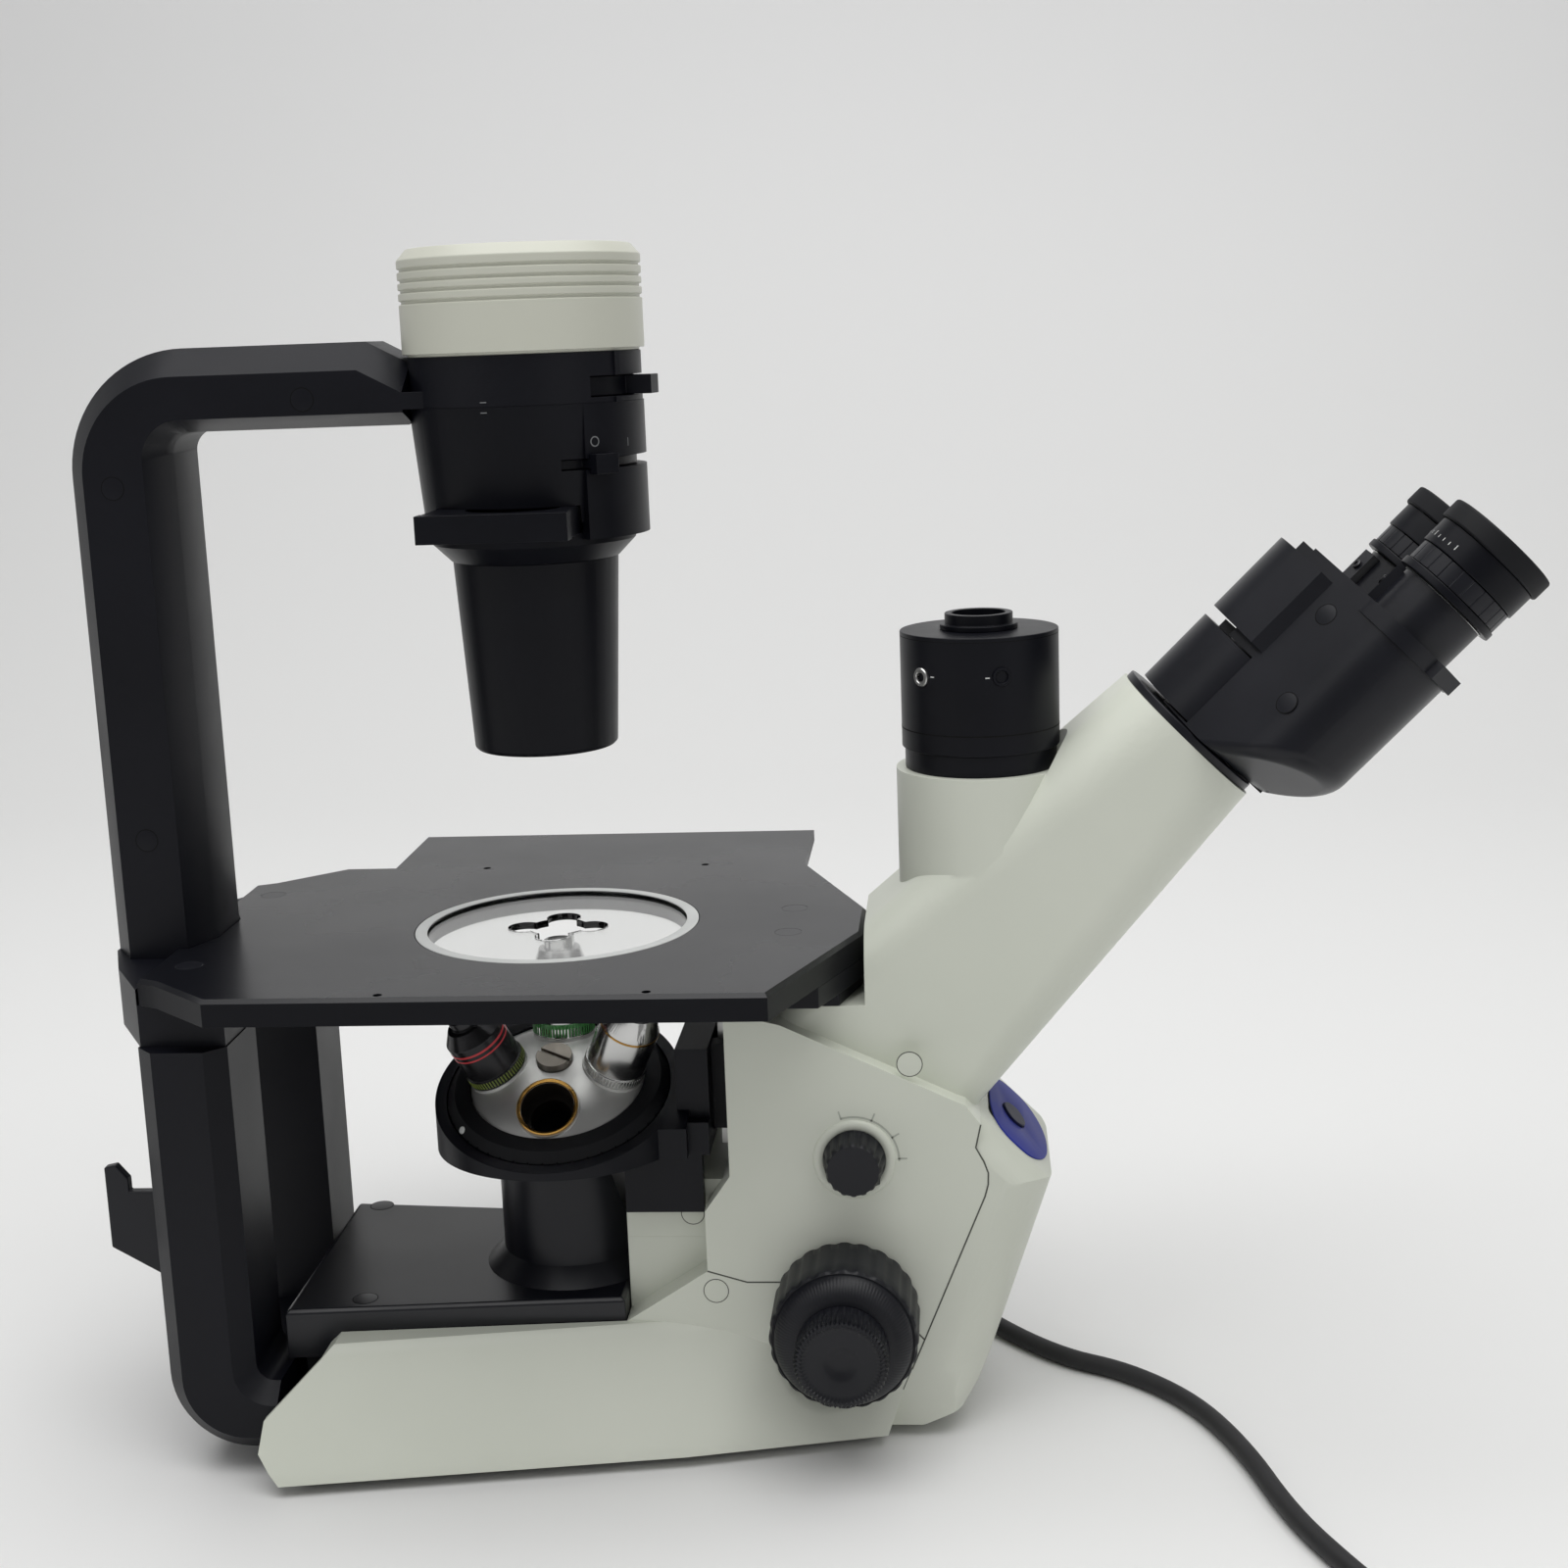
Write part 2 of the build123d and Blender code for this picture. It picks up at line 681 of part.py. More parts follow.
with BuildPart() as base_shell:
    for (low, low_pull), (high, high_pull) in zip(skirt_levels, skirt_levels[1:]):
        loft([skirt_outline(low, skirt_half, low_pull), skirt_outline(high, skirt_half, high_pull)], ruled=True)
    with BuildSketch(side_plane(0)):
        polygon([
            (core_back, shell_bottom), (core_back, skirt_levels[-1][0]), seam_corner,
            *seam_low, cover_seam[1], cover_seam[0],
        ])
    extrude(amount=body_half, both=True)
    with BuildSketch(side_plane(0)):
        polygon([
            (core_back, shell_bottom), (core_back, seam_left[1]), seam_left, seam_corner,
            (seam_low[0][0], shell_bottom),
        ])
    extrude(amount=core_half, both=True)
    with BuildSketch(side_plane(0)):
        polygon([(cover_seam[0][0], 0), *cover_seam[:2], seam_low[1], (cover_far, seam_low[1][1]), (cover_far, 0)])
    extrude(amount=wide, both=True, mode=Mode.SUBTRACT)
    for way in (-1, 1):
        for spread in (0, 1):
            with BuildSketch(side_plane(way * (body_half + spread * dish_depth), knob_x, knob_z)):
                Circle(dish_radius + spread * dish_flare)
        loft(ruled=True, mode=Mode.SUBTRACT)
    loft([
        skirt_outline(low, [cavity_mouth, cavity_stop], pull + skirt_wall)
        for low, pull in (skirt_levels[0], skirt_levels[2])
    ], ruled=True, mode=Mode.SUBTRACT)
    with BuildSketch(level(deck_low - slip)):
        polygon(mirrored([
            (deck_back, deck_back_half + slip), (deck_front + slip, deck_front_half + slip),
        ]))
    extrude(amount=deck_top - deck_low, mode=Mode.SUBTRACT)
    with BuildSketch(side_plane(0)):
        polygon(skirt_end)
    extrude(amount=wide, both=True, mode=Mode.SUBTRACT)
    for back, front, half, top in (
        (machine_back, throat_front, throat_half, throat_top), (throat_front, machine_front, machine_half, machine_top),
    ):
        with BuildSketch(level(shell_bottom)):
            with Locations(((back + front) / 2, 0)):
                Rectangle(front - back, 2 * half)
        extrude(amount=top - shell_bottom, mode=Mode.SUBTRACT)
    with BuildSketch(side_plane(0, knob_x, knob_z)):
        Circle(coarse_shaft_radius + run_fit)
    extrude(amount=wide, both=True, mode=Mode.SUBTRACT)
    with BuildSketch(front_plane(0, 0, beam_z)):
        Circle(tube_lens_radius)
    extrude(amount=machine_back + deck_wall, mode=Mode.SUBTRACT)
    with BuildSketch(front_plane(0, 0, beam_z)):
        Circle(beam_radius)
    extrude(amount=tube_lens_ledge, mode=Mode.SUBTRACT)
    with BuildSketch(side_plane(0, inlet_x, inlet_z)):
        Circle(inlet_radius)
    extrude(amount=-wide, mode=Mode.SUBTRACT)
save(base_shell, "base_shell")

with BuildPart() as tube_lens:
    with BuildSketch(front_plane(deck_front + slip, 0, beam_z)):
        Circle(beam_radius - run_fit)
    extrude(amount=tube_lens_ledge - deck_front - slip)
save(tube_lens, "tube_lens")

# Bottom plate and four rubber feet
plate_bottom = 3.0
plate_half = [(-95, 86), (50, 64), (119, 47)]
foot_radius = 8.0
foot_spots = [(-84, 72), (-84, -72), (106, 38), (106, -38)]
with BuildPart() as base_plate:
    with BuildSketch(level(plate_bottom)):
        polygon(mirrored(plate_half))
    extrude(amount=shell_bottom - plate_bottom)
save(base_plate, "base_plate")

with BuildPart() as rubber_feet:
    with BuildSketch(level(0)):
        with Locations(*foot_spots):
            Circle(foot_radius)
    extrude(amount=plate_bottom)
save(rubber_feet, "rubber_feet")

# Main body with the slanted eyepiece tube and the upright camera port
tube_end_x = 241.8
tube_end_z = 264.2
tube_end = Vector(tube_end_x, 0, tube_end_z)
tube_dir = Vector(1, 0, 1).normalized()
tube_down = Vector(1, 0, -1).normalized()
tube_root = -185.0
tube_root_size = (71.1, 84.5, 10.0)
tube_end_size = (61.0, 61.0, 24.0)
tube_bore = 20.0
port_x = 165.5
port_radius = 32.0
port_foot = 191.0
port_height = 63.0
port_top = port_foot + port_height
body_back = 68.0
core_top = 100.0
ridge = [(157.0, 133.5), (88.8, 165.5), (body_back + 2, bracket_bottom)]
body_heel = [(body_back, 106.0), (seam_corner[0], 92.0)]
stage_pocket_front = 120.5
dim_x = 115.2
dim_z = 112.6
dim_shaft_radius = 4.0
dim_shaft_depth = 12.0


def tube_plane(s):
    return Plane(origin=tube_end + tube_dir * s, x_dir=(0, 1, 0), z_dir=tube_dir)


with BuildPart() as main_body:
    with BuildSketch(side_plane(0)):
        polygon([
            seam_corner, *seam_low, *cover_seam[1:], *ridge, (body_back, bracket_bottom), *body_heel,
        ])
    extrude(amount=body_half, both=True)
    with BuildSketch(side_plane(0)):
        polygon([
            (core_back, seam_left[1]), seam_left, seam_corner, (body_back, seam_corner[1]),
            (body_back, core_top), (core_back, core_top),
        ])
    extrude(amount=core_half, both=True)
    with BuildSketch(tube_plane(tube_root)) as root_face:
        RectangleRounded(*tube_root_size)
    with BuildSketch(tube_plane(0)) as end_face:
        RectangleRounded(*tube_end_size)
    loft(ruled=True)
    with BuildSketch(level(port_foot, port_x)):
        Circle(port_radius)
    extrude(amount=port_height)
    with BuildSketch(level(bracket_bottom)):
        with Locations((stage_pocket_front / 2, 0)):
            Rectangle(stage_pocket_front, 2 * wide)
    extrude(amount=wide, mode=Mode.SUBTRACT)
    with BuildSketch(side_plane(0)):
        polygon([cover_seam[1], *cover_seam[2:], (cover_far, cover_seam[-1][1]), (cover_far, cover_seam[1][1])])
    extrude(amount=wide, both=True, mode=Mode.SUBTRACT)
    with BuildSketch(tube_plane(0)):
        Circle(tube_bore)
    extrude(amount=0.7 * tube_root, mode=Mode.SUBTRACT)
    with BuildSketch(level(port_top, port_x)):
        Circle(tube_bore)
    extrude(amount=-port_height, mode=Mode.SUBTRACT)
    with BuildSketch(level(port_top, port_x)):
        Circle(port_radius + slip)
    extrude(amount=wide, mode=Mode.SUBTRACT)
    with BuildSketch(side_plane(-body_half + dim_shaft_depth, dim_x, dim_z)):
        Circle(dim_shaft_radius + run_fit)
    extrude(amount=dim_shaft_depth, mode=Mode.SUBTRACT)
save(main_body, "main_body")

# Front cover: rounded nose below the tube
cover_sections = [
    (5.0, 47.0, 147.0), (10.0, 50.0, 155.0), (18.0, 46.0, 160.5), (28.0, 43.0, 165.0), (130.0, 43.0, 199.5),
]
cover_back = 118.0
cover_round = 20.0
cover_crown = (186.0, 102.5)
panel_x = 175.2
panel_z = 113.3
panel_center = Vector(panel_x, 0, panel_z)
panel_size = (46.0, 27.0, 6.0)
panel_thick = 2.0
button_size = (8.0, 5.5)
button_out = 1.5
button_travel = 1.5
panel_plane = Plane(origin=panel_center, x_dir=(0, 1, 0), z_dir=tube_dir)


def cover_section(z, half, front):
    with BuildSketch(level(z)) as outline:
        with Locations(((cover_back + front) / 2, 0)):
            Rectangle(front - cover_back, 2 * half)
        fillet(outline.vertices().group_by(Axis.X)[-1], cover_round)
    return outline.sketch


with BuildPart() as front_cover:
    loft([cover_section(*item) for item in cover_sections], ruled=True)
    with BuildSketch(side_plane(0)):
        polygon([(0, 0), (cover_seam[0][0], 0), *cover_seam, cover_crown, (cover_far, cover_crown[1]),
                 (cover_far, wide + wide), (0, wide + wide)])
    extrude(amount=wide, both=True, mode=Mode.SUBTRACT)
    with BuildSketch(panel_plane):
        RectangleRounded(*panel_size)
    extrude(amount=-panel_thick, mode=Mode.SUBTRACT)
    with BuildSketch(panel_plane):
        Ellipse(button_size[0] + slip, button_size[1] + slip)
    extrude(amount=-panel_thick - 2 * button_travel, mode=Mode.SUBTRACT)
save(front_cover, "front_cover")

with BuildPart() as blue_panel:
    with BuildSketch(panel_plane.offset(-panel_thick)):
        RectangleRounded(panel_size[0] - slip, panel_size[1] - slip, panel_size[2] - slip / 2)
        Ellipse(button_size[0] + slip, button_size[1] + slip, mode=Mode.SUBTRACT)
    extrude(amount=panel_thick)
save(blue_panel, "blue_panel")

with BuildPart() as power_button:
    with BuildSketch(panel_plane.offset(-panel_thick)):
        Ellipse(*button_size)
    extrude(amount=panel_thick + button_out)
save(power_button, "power_button")

# Adds stacked rings along a plane's normal: each has a start, an end and two radii
def stack(plane, steps):
    for low, high, outer, inner in steps:
        with BuildSketch(plane.offset(low)) as ring:
            Circle(outer)
            if inner:
                Circle(inner, mode=Mode.SUBTRACT)
        extrude(ring.sketch, amount=high - low)


# Cuts a round hole along a plane's normal
def bore(plane, low, high, radius):
    with BuildSketch(plane.offset(low)) as hole:
        Circle(radius)
    extrude(hole.sketch, amount=high - low, mode=Mode.SUBTRACT)


# Cuts even grooves around a knob that lies along a plane's normal
def flutes(plane, low, high, radius, count, groove):
    with BuildSketch(plane.offset(low)) as ring:
        with PolarLocations(radius + groove / 2, count):
            RegularPolygon(groove, 4)
    extrude(ring.sketch, amount=high - low, mode=Mode.SUBTRACT)


# Hinge spindle of the eyepiece head, with the flange that closes the tube
flange_radius = 30.4
flange_thick = 3.0
spindle_radius = 13.0
spindle_bore = 9.0
spindle_top = 76.5
with BuildPart() as hinge_spindle:
    stack(tube_plane(0), [
        (0, flange_thick, flange_radius, spindle_bore),
        (flange_thick, spindle_top, spindle_radius, spindle_bore),
    ])
save(hinge_spindle, "hinge_spindle")

# Two eyepiece arms that swing on the spindle like a pair of doors
arm_reach = 40.0
arm_angle = 50.8
arm_shell = 22.0
arm_bottom = 3.5
arm_top = 80.5
barrel_radius = 26.0
barrel_spans = {"near": (41.0, 75.5), "far": (5.0, 36.6)}
sides = {"near": -1, "far": 1}
inner_corner = (27.9, 18.4)
web_reach = 13.0
web_slope = 4.0
chin = [(30, 3), (64, 3), (64, 26)]
end_plate_low = 74.5
end_plate_lip = 1.0
end_tab = (58.0, 65.5, 7.0)
sleeve_radius = 17.0
sleeve_top = 97.3
eyepiece_radius = 15.0
sleeve_depth = 76.7
lock_size = 8.0
lock_angle = 35.0
lock_reach = 20.0
lock_top = 95.0
flange_top = 100.3
neck_top = 108.3
body_top = 118.3
eyepiece_bore = 10.0
eyepiece_neck = 16.0
eyepiece_flange = 20.4
eyepiece_steps = [
    (sleeve_depth + slip, sleeve_top, eyepiece_radius, eyepiece_bore),
    (sleeve_top, flange_top, eyepiece_flange, eyepiece_bore),
    (flange_top, neck_top, eyepiece_neck, eyepiece_bore),
    (neck_top, body_top, eyepiece_flange, eyepiece_bore),
]
eye_lens = (114.0, 116.0)
diopter_play = 0.2
diopter_radius = 19.6
eyecup_top = 126.0
eyecup_radius = 21.8
eyecup_bore = 12.0


def arm_plane(way, s):
    turn = math.radians(arm_angle)
    across = Vector(tube_down.X * math.cos(turn), way * math.sin(turn), tube_down.Z * math.cos(turn))
    return Plane(origin=tube_end + tube_dir * s, x_dir=across, z_dir=tube_dir)


def eye_plane(way):
    return arm_plane(way, 0).shift_origin(tuple(tube_end + arm_plane(way, 0).x_dir * arm_reach))


# Outline of an arm: a web from the spindle to a round end
def arm_outline(way, low, radius):
    with BuildSketch(arm_plane(way, low)) as outline:
        polygon([
            (0, 0), (inner_corner[0], -way * inner_corner[1]), (arm_reach, 0),
            (arm_reach, way * arm_shell), (0, way * arm_shell),
        ])
        with Locations((arm_reach, 0)):
            Circle(radius)
    return outline.sketch


for side, way in sides.items():
    own_low, own_high = barrel_spans[side]
    other_low, other_high = barrel_spans["far" if side == "near" else "near"]
    with BuildPart() as ocular:
        extrude(arm_outline(way, arm_bottom, arm_shell), amount=end_plate_low - arm_bottom)
        chin_plane = Plane(origin=tube_end, x_dir=arm_plane(way, 0).x_dir, z_dir=-arm_plane(way, 0).y_dir)
        with BuildSketch(chin_plane):
            polygon(chin)
        extrude(amount=2 * arm_shell, both=True, mode=Mode.SUBTRACT)
        extrude(arm_outline(way, end_plate_low, arm_shell + end_plate_lip), amount=arm_top - end_plate_low)
        with BuildSketch(arm_plane(way, end_plate_low)):
            with Locations(((end_tab[0] + end_tab[1]) / 2, 0)):
                Rectangle(end_tab[1] - end_tab[0], 2 * end_tab[2])
        extrude(amount=arm_top - end_plate_low)
        bore(arm_plane(way, 0), other_low - swing_gap, other_high + swing_gap, barrel_radius + swing_gap)
        stack(arm_plane(way, 0), [(own_low, own_high, barrel_radius, 0)])
        with BuildSketch(arm_plane(way, own_low)):
            polygon([
                (0, 0), (web_reach + web_slope, 0), (web_reach + web_slope, way * arm_shell),
                (web_reach, way * barrel_radius), (0, way * barrel_radius),
            ])
        extrude(amount=own_high - own_low)
        bore(arm_plane(way, 0), 0, arm_top, spindle_radius + run_fit)
        stack(eye_plane(way), [(arm_top, sleeve_top, sleeve_radius, 0)])
        with BuildSketch(eye_plane(way).offset(arm_top)):
            with Locations(Rotation(0, 0, 180 - way * lock_angle)):
                with Locations(((eyepiece_radius + lock_reach) / 2, 0)):
                    Rectangle(lock_reach - eyepiece_radius, lock_size)
        extrude(amount=lock_top - arm_top)
        bore(eye_plane(way), sleeve_depth, sleeve_top, eyepiece_radius + slide_fit)
    save(ocular, f"ocular_{side}")
    with BuildPart() as eyepiece:
        stack(eye_plane(way), eyepiece_steps)
        stack(eye_plane(way), [(*eye_lens, eyepiece_radius, 0)])
    save(eyepiece, f"eyepiece_{side}")
    with BuildPart() as diopter_ring:
        stack(eye_plane(way), [
            (flange_top + diopter_play, neck_top - diopter_play, diopter_radius, eyepiece_neck + run_fit),
        ])
        flutes(eye_plane(way), flange_top, neck_top, diopter_radius, 24, 0.6)
    save(diopter_ring, f"diopter_ring_{side}")
    with BuildPart() as eyecup:
        stack(eye_plane(way), [(body_top, eyecup_top, eyecup_radius, eyecup_bore)])
    save(eyecup, f"eyecup_{side}")

# Camera port: seat ring, adapter tube and a threaded ring for a camera
seat_ring_radius = 28.5
seat_ring_height = 8.0
seat_ring_top = port_top + seat_ring_height
adapter_radius = 29.6
adapter_height = 43.7
adapter_top = seat_ring_top + adapter_height
c_flange_radius = 14.5
c_thread_radius = 12.7
c_bore = 10.0
c_flange_top = adapter_top + 2.0
c_thread_length = 4.0
camera_bore = 12.0
screw_drop = 14.2
screw_head = 3.2
screw_out = 3.5
screw_angles = [225.0, 286.0]
with BuildPart() as camera_port_ring:
    stack(level(0, port_x), [(port_top, seat_ring_top, seat_ring_radius, tube_bore)])
save(camera_port_ring, "camera_port_ring")

with BuildPart() as camera_adapter:
    stack(level(0, port_x), [(seat_ring_top, adapter_top, adapter_radius, camera_bore)])
save(camera_adapter, "camera_adapter")

with BuildPart() as c_mount_ring:
    stack(level(0, port_x), [
        (adapter_top, c_flange_top, c_flange_radius, c_bore),
        (c_flange_top, c_flange_top + c_thread_length, c_thread_radius, c_bore),
    ])
save(c_mount_ring, "c_mount_ring")

with BuildPart() as adapter_screws:
    for angle in screw_angles:
        out = Vector(*polar(1, angle), 0)
        face = Plane(origin=Vector(port_x, 0, adapter_top - screw_drop) + out * adapter_radius, z_dir=out)
        stack(face, [(0.2, screw_out, screw_head, 0)])
save(adapter_screws, "adapter_screws")

# Nosepiece: everything tilts about one apex, so that one objective stands upright
tilt = 22.0
lean = math.radians(tilt)
apex_z = 90.5
apex = Vector(0, 0, apex_z)
turret_plane = Plane(origin=apex, x_dir=(1, 0, 0), z_dir=(0, -math.sin(lean), math.cos(lean)))
turret_section = Plane(origin=apex, x_dir=turret_plane.x_dir, z_dir=-turret_plane.y_dir)
turret_axis = Axis(apex, turret_plane.z_dir)
dome_low = 41.0
dome_flange = 43.5
flange_edge = 38.0
dome_base = 33.6
dome_radius = 60.0
pivot_radius = 5.5
pivot_low = 33.4
screw_radius = 7.0
screw_sunk = 1.0
screw_high = 62.5
slot_width = 1.6
slot_depth = 1.4
boss_low = 52.0
boss_radius = 12.2
objective_hole = 10.15
thread_floor = 51.5
relief_floor = 49.8
relief_radius = 10.6
light_hole = 8.0
shoulder = 60.0
port_ring_radius = 11.6
port_ring_high = 61.2
grip_play = 0.3
grip_outer = 43.0
grip_inner = 34.0
grip_edge = 46.0
grip_crest = (40.0, 49.5)
grip_top = 50.5
port_angles = {"high": 90, "low": 180, "mid": 0, "empty": 270}


def objective_plane(angle):
    across = turret_plane.x_dir * math.cos(math.radians(angle)) + turret_plane.y_dir * math.sin(math.radians(angle))
    return Plane(origin=apex, z_dir=turret_plane.z_dir * math.cos(lean) + across * math.sin(lean))


dome_rise = math.degrees(math.acos(dome_base / dome_radius))
dome_edge = dome_radius * math.sin(math.radians(dome_rise))
with BuildPart() as turret_dome:
    with BuildSketch(turret_section):
        with BuildLine():
            Polyline((0, dome_radius), (0, pivot_low), (pivot_radius, pivot_low), (pivot_radius, dome_low))
            Polyline((pivot_radius, dome_low), (flange_edge, dome_low), (flange_edge, dome_flange))
            Polyline((flange_edge, dome_flange), (dome_base, dome_flange), (dome_base, dome_edge))
            CenterArc((0, 0), dome_radius, dome_rise, 90 - dome_rise)
        make_face()
    revolve(axis=turret_axis)
    for angle in port_angles.values():
        stack(objective_plane(angle), [(boss_low, shoulder, boss_radius, 0)])
    for angle in port_angles.values():
        bore(objective_plane(angle), thread_floor, shoulder + 1, objective_hole)
        bore(objective_plane(angle), relief_floor, thread_floor, relief_radius)
        bore(objective_plane(angle), pivot_low + pivot_radius, relief_floor, light_hole)
    bore(turret_plane, dome_radius - screw_sunk, screw_high, screw_radius + slip)
save(turret_dome, "turret_dome")

# Grip ring: ribbed and sloping, so that it reads as the rim of a shallow bowl
with BuildPart() as turret_grip:
    with BuildSketch(turret_section):
        polygon([
            (flange_edge + slip, dome_low + grip_play), (grip_outer, dome_low + grip_play), (grip_outer, grip_edge),
            grip_crest, (grip_inner, grip_top), (grip_inner, dome_flange), (flange_edge + slip, dome_flange),
        ])
    revolve(axis=turret_axis)
    flutes(turret_plane, dome_low, grip_top, grip_outer, 48, 1.0)
save(turret_grip, "turret_grip")

with BuildPart() as pivot_screw:
    stack(turret_plane, [(dome_radius - screw_sunk, screw_high, screw_radius, 0)])
    with BuildSketch(turret_plane.offset(screw_high - slot_depth)):
        Rectangle(2 * screw_radius, slot_width)
    extrude(amount=slot_depth, mode=Mode.SUBTRACT)
save(pivot_screw, "pivot_screw")

with BuildPart() as port_ring:
    stack(objective_plane(port_angles["empty"]), [(shoulder, port_ring_high, port_ring_radius, objective_hole)])
save(port_ring, "port_ring")

# Objectives: a stub in the port, a knurled foot, a body, a taper and a front lens
stub_radius = 10.0
stub_low = 55.0
objective_radius = 12.0
foot_high = 64.0
foot_step = 0.5
nose_radius = 8.0
lens_mount = 6.0
objective_heights = {"low": (80.0, 85.0, 89.0), "mid": (83.0, 91.0, 96.0), "high": (82.0, 92.0, 97.0)}
for name, (body_high, taper_high, tip_high) in objective_heights.items():
    upright = objective_plane(port_angles[name])
    with BuildPart() as objective:
        stack(upright, [
            (stub_low, shoulder, stub_radius, 0),
            (shoulder, foot_high, objective_radius, 0),
            (foot_high, body_high, objective_radius - foot_step, 0),
            (taper_high, tip_high, lens_mount, 0),
        ])
        with BuildSketch(upright.offset(body_high)) as taper_foot:
            Circle(objective_radius - foot_step)
        with BuildSketch(upright.offset(taper_high)) as taper_head:
            Circle(nose_radius)
        loft(ruled=True)
    save(objective, f"objective_{name}")

# Carriage: a wedge with a level floor and a tilted bowl for the turret, on a block that slides on the rail
carrier_floor = 40.5
carrier_rim = 46.0
carrier_radius = 48.0
carrier_play = 0.6
carrier_light = 8.0
link_x = (26.0, 52.0)
link_y = (-40.0, 20.0)
link_high = 130.0
block_back = 47.5
block_front = 60.0
cheek_back = 27.0
cheek_front = 57.0
cheek_inner = 31.0
cheek_outer = 36.0
block_low = 112.0
block_step = 125.0
block_high = 152.0
cheek_low = 89.0
jaw_inner = 10.0 + slide_fit
jaw_outer = 18.0
jaw_front = 66.0
jaw_low = 116.0
jaw_high = 150.0
rail_half = 10.0
rail_face = 62.0
rail_low = 107.0
rail_high = 168.0


def box_between(low, high):
    with BuildSketch(level(low[2])) as foot:
        polygon([(low[0], low[1]), (high[0], low[1]), (high[0], high[1]), (low[0], high[1])])
    extrude(foot.sketch, amount=high[2] - low[2])


with BuildPart() as carriage:
    with BuildSketch(level(block_low, 0, -carrier_rim * math.sin(lean))):
        Ellipse(carrier_radius, carrier_radius * math.cos(lean))
    extrude(amount=carrier_radius)
    box_between((link_x[0], link_y[0], block_low), (link_x[1], link_y[1], link_high))
    bore(turret_plane, carrier_rim, carrier_rim + 2 * carrier_radius, 2 * carrier_radius)
    bore(turret_plane, carrier_floor, carrier_rim, grip_outer + carrier_play)
    box_between((block_back, -cheek_outer, block_low), (block_front, cheek_outer, block_step))
    box_between((block_back, -core_half, block_step), (block_front, core_half, block_high))
    for way in (-1, 1):
        inner, outer = sorted((way * cheek_inner, way * cheek_outer))
        box_between((cheek_back, inner, cheek_low), (cheek_front, outer, block_low + 1))
        inner, outer = sorted((way * jaw_inner, way * jaw_outer))
        box_between((block_front, inner, jaw_low), (jaw_front, outer, jaw_high))
    bore(turret_plane, pivot_low - slip, carrier_floor, pivot_radius + run_fit)
    bore(level(0), block_low, block_high, carrier_light)
save(carriage, "carriage")

with BuildPart() as guide_rail:
    box_between((rail_face, -rail_half, rail_low), (body_back, rail_half, rail_high))
save(guide_rail, "guide_rail")

# Focus drive: hollow coarse shaft with a pinion, and a fine shaft inside it
fine_shaft_radius = 4.0
coarse_low = 45.0
coarse_rim = 70.0
coarse_out = 78.0
coarse_radius = 27.7
coarse_lobes = 24
lobe_cut = 2.0
collar_radius = 24.6
fine_low = coarse_out + slip
fine_out = 91.0
fine_radius = 17.3
pinion_radius = 7.0
pinion_half = 8.0
fine_shaft_half = 85.0


# Plane through a knob's axis, facing outward on the given side
def knob_side(way, x=knob_x, z=knob_z):
    return Plane(origin=(x, 0, z), x_dir=(1, 0, 0), z_dir=(0, way, 0))


with BuildPart() as coarse_shaft:
    stack(knob_side(1), [
        (-coarse_out, coarse_out, coarse_shaft_radius, 0),
        (-pinion_half, pinion_half, pinion_radius, 0),
    ])
    bore(knob_side(1), -coarse_out, coarse_out, fine_shaft_radius + run_fit)
save(coarse_shaft, "coarse_shaft")

with BuildPart() as coarse_knobs:
    for way in (-1, 1):
        stack(knob_side(way), [
            (coarse_low, coarse_rim, coarse_radius, coarse_shaft_radius),
            (coarse_rim, coarse_out, collar_radius, coarse_shaft_radius),
        ])
        flutes(knob_side(way), coarse_low, coarse_rim, coarse_radius, coarse_lobes, lobe_cut)
save(coarse_knobs, "coarse_knobs")

with BuildPart() as fine_shaft:
    stack(knob_side(1), [(-fine_shaft_half, fine_shaft_half, fine_shaft_radius, 0)])
save(fine_shaft, "fine_shaft")

with BuildPart() as fine_knobs:
    for way in (-1, 1):
        stack(knob_side(way), [(fine_low, fine_out, fine_radius, 0)])
        flutes(knob_side(way), fine_low, fine_out, fine_radius, 30, 0.8)
    bore(knob_side(1), -fine_shaft_half, fine_shaft_half, fine_shaft_radius)
save(fine_knobs, "fine_knobs")

# Brightness knob: a tapered cap with its stub shaft in the body wall
dim_radius = 11.8
dim_tip_radius = 10.4
dim_length = 11.5
dim_low = body_half + slip
dim_groove = 1.0
shaft_end_gap = 2.0
dim_side = knob_side(-1, dim_x, dim_z)
with BuildPart() as brightness_knob:
    stack(dim_side, [(body_half - dim_shaft_depth + shaft_end_gap, dim_low, dim_shaft_radius, 0)])
    with BuildSketch(dim_side.offset(dim_low)):
        Circle(dim_radius)
    with BuildSketch(dim_side.offset(dim_low + dim_length)):
        Circle(dim_tip_radius)
    loft(ruled=True)
    flutes(dim_side, dim_low, dim_low + dim_length, dim_tip_radius, 18, dim_groove)
save(brightness_knob, "brightness_knob")

# Power gland on the far wall, turned towards the user, with a tapered strain relief
cord_radius = 3.75
gland_y = 80.0
gland_inner = 48.0
gland_wall = 68.0
gland_outer = 90.0
gland_x = (60.0, 76.0)
gland_z = (8.0, 26.0)
relief_end = 97.0
with BuildPart() as power_inlet:
    stack(side_plane(0, inlet_x, inlet_z), [(-gland_wall - 1, -gland_inner, inlet_radius - run_fit, 0)])
    box_between((gland_x[0], gland_wall, gland_z[0]), (gland_x[1], gland_outer, gland_z[1]))
    with BuildSketch(front_plane(gland_x[1], gland_y, inlet_z)) as relief_root:
        Circle(2 * cord_radius)
    with BuildSketch(front_plane(relief_end, gland_y, inlet_z)) as relief_tip:
        Circle(1.3 * cord_radius)
    loft(ruled=True)
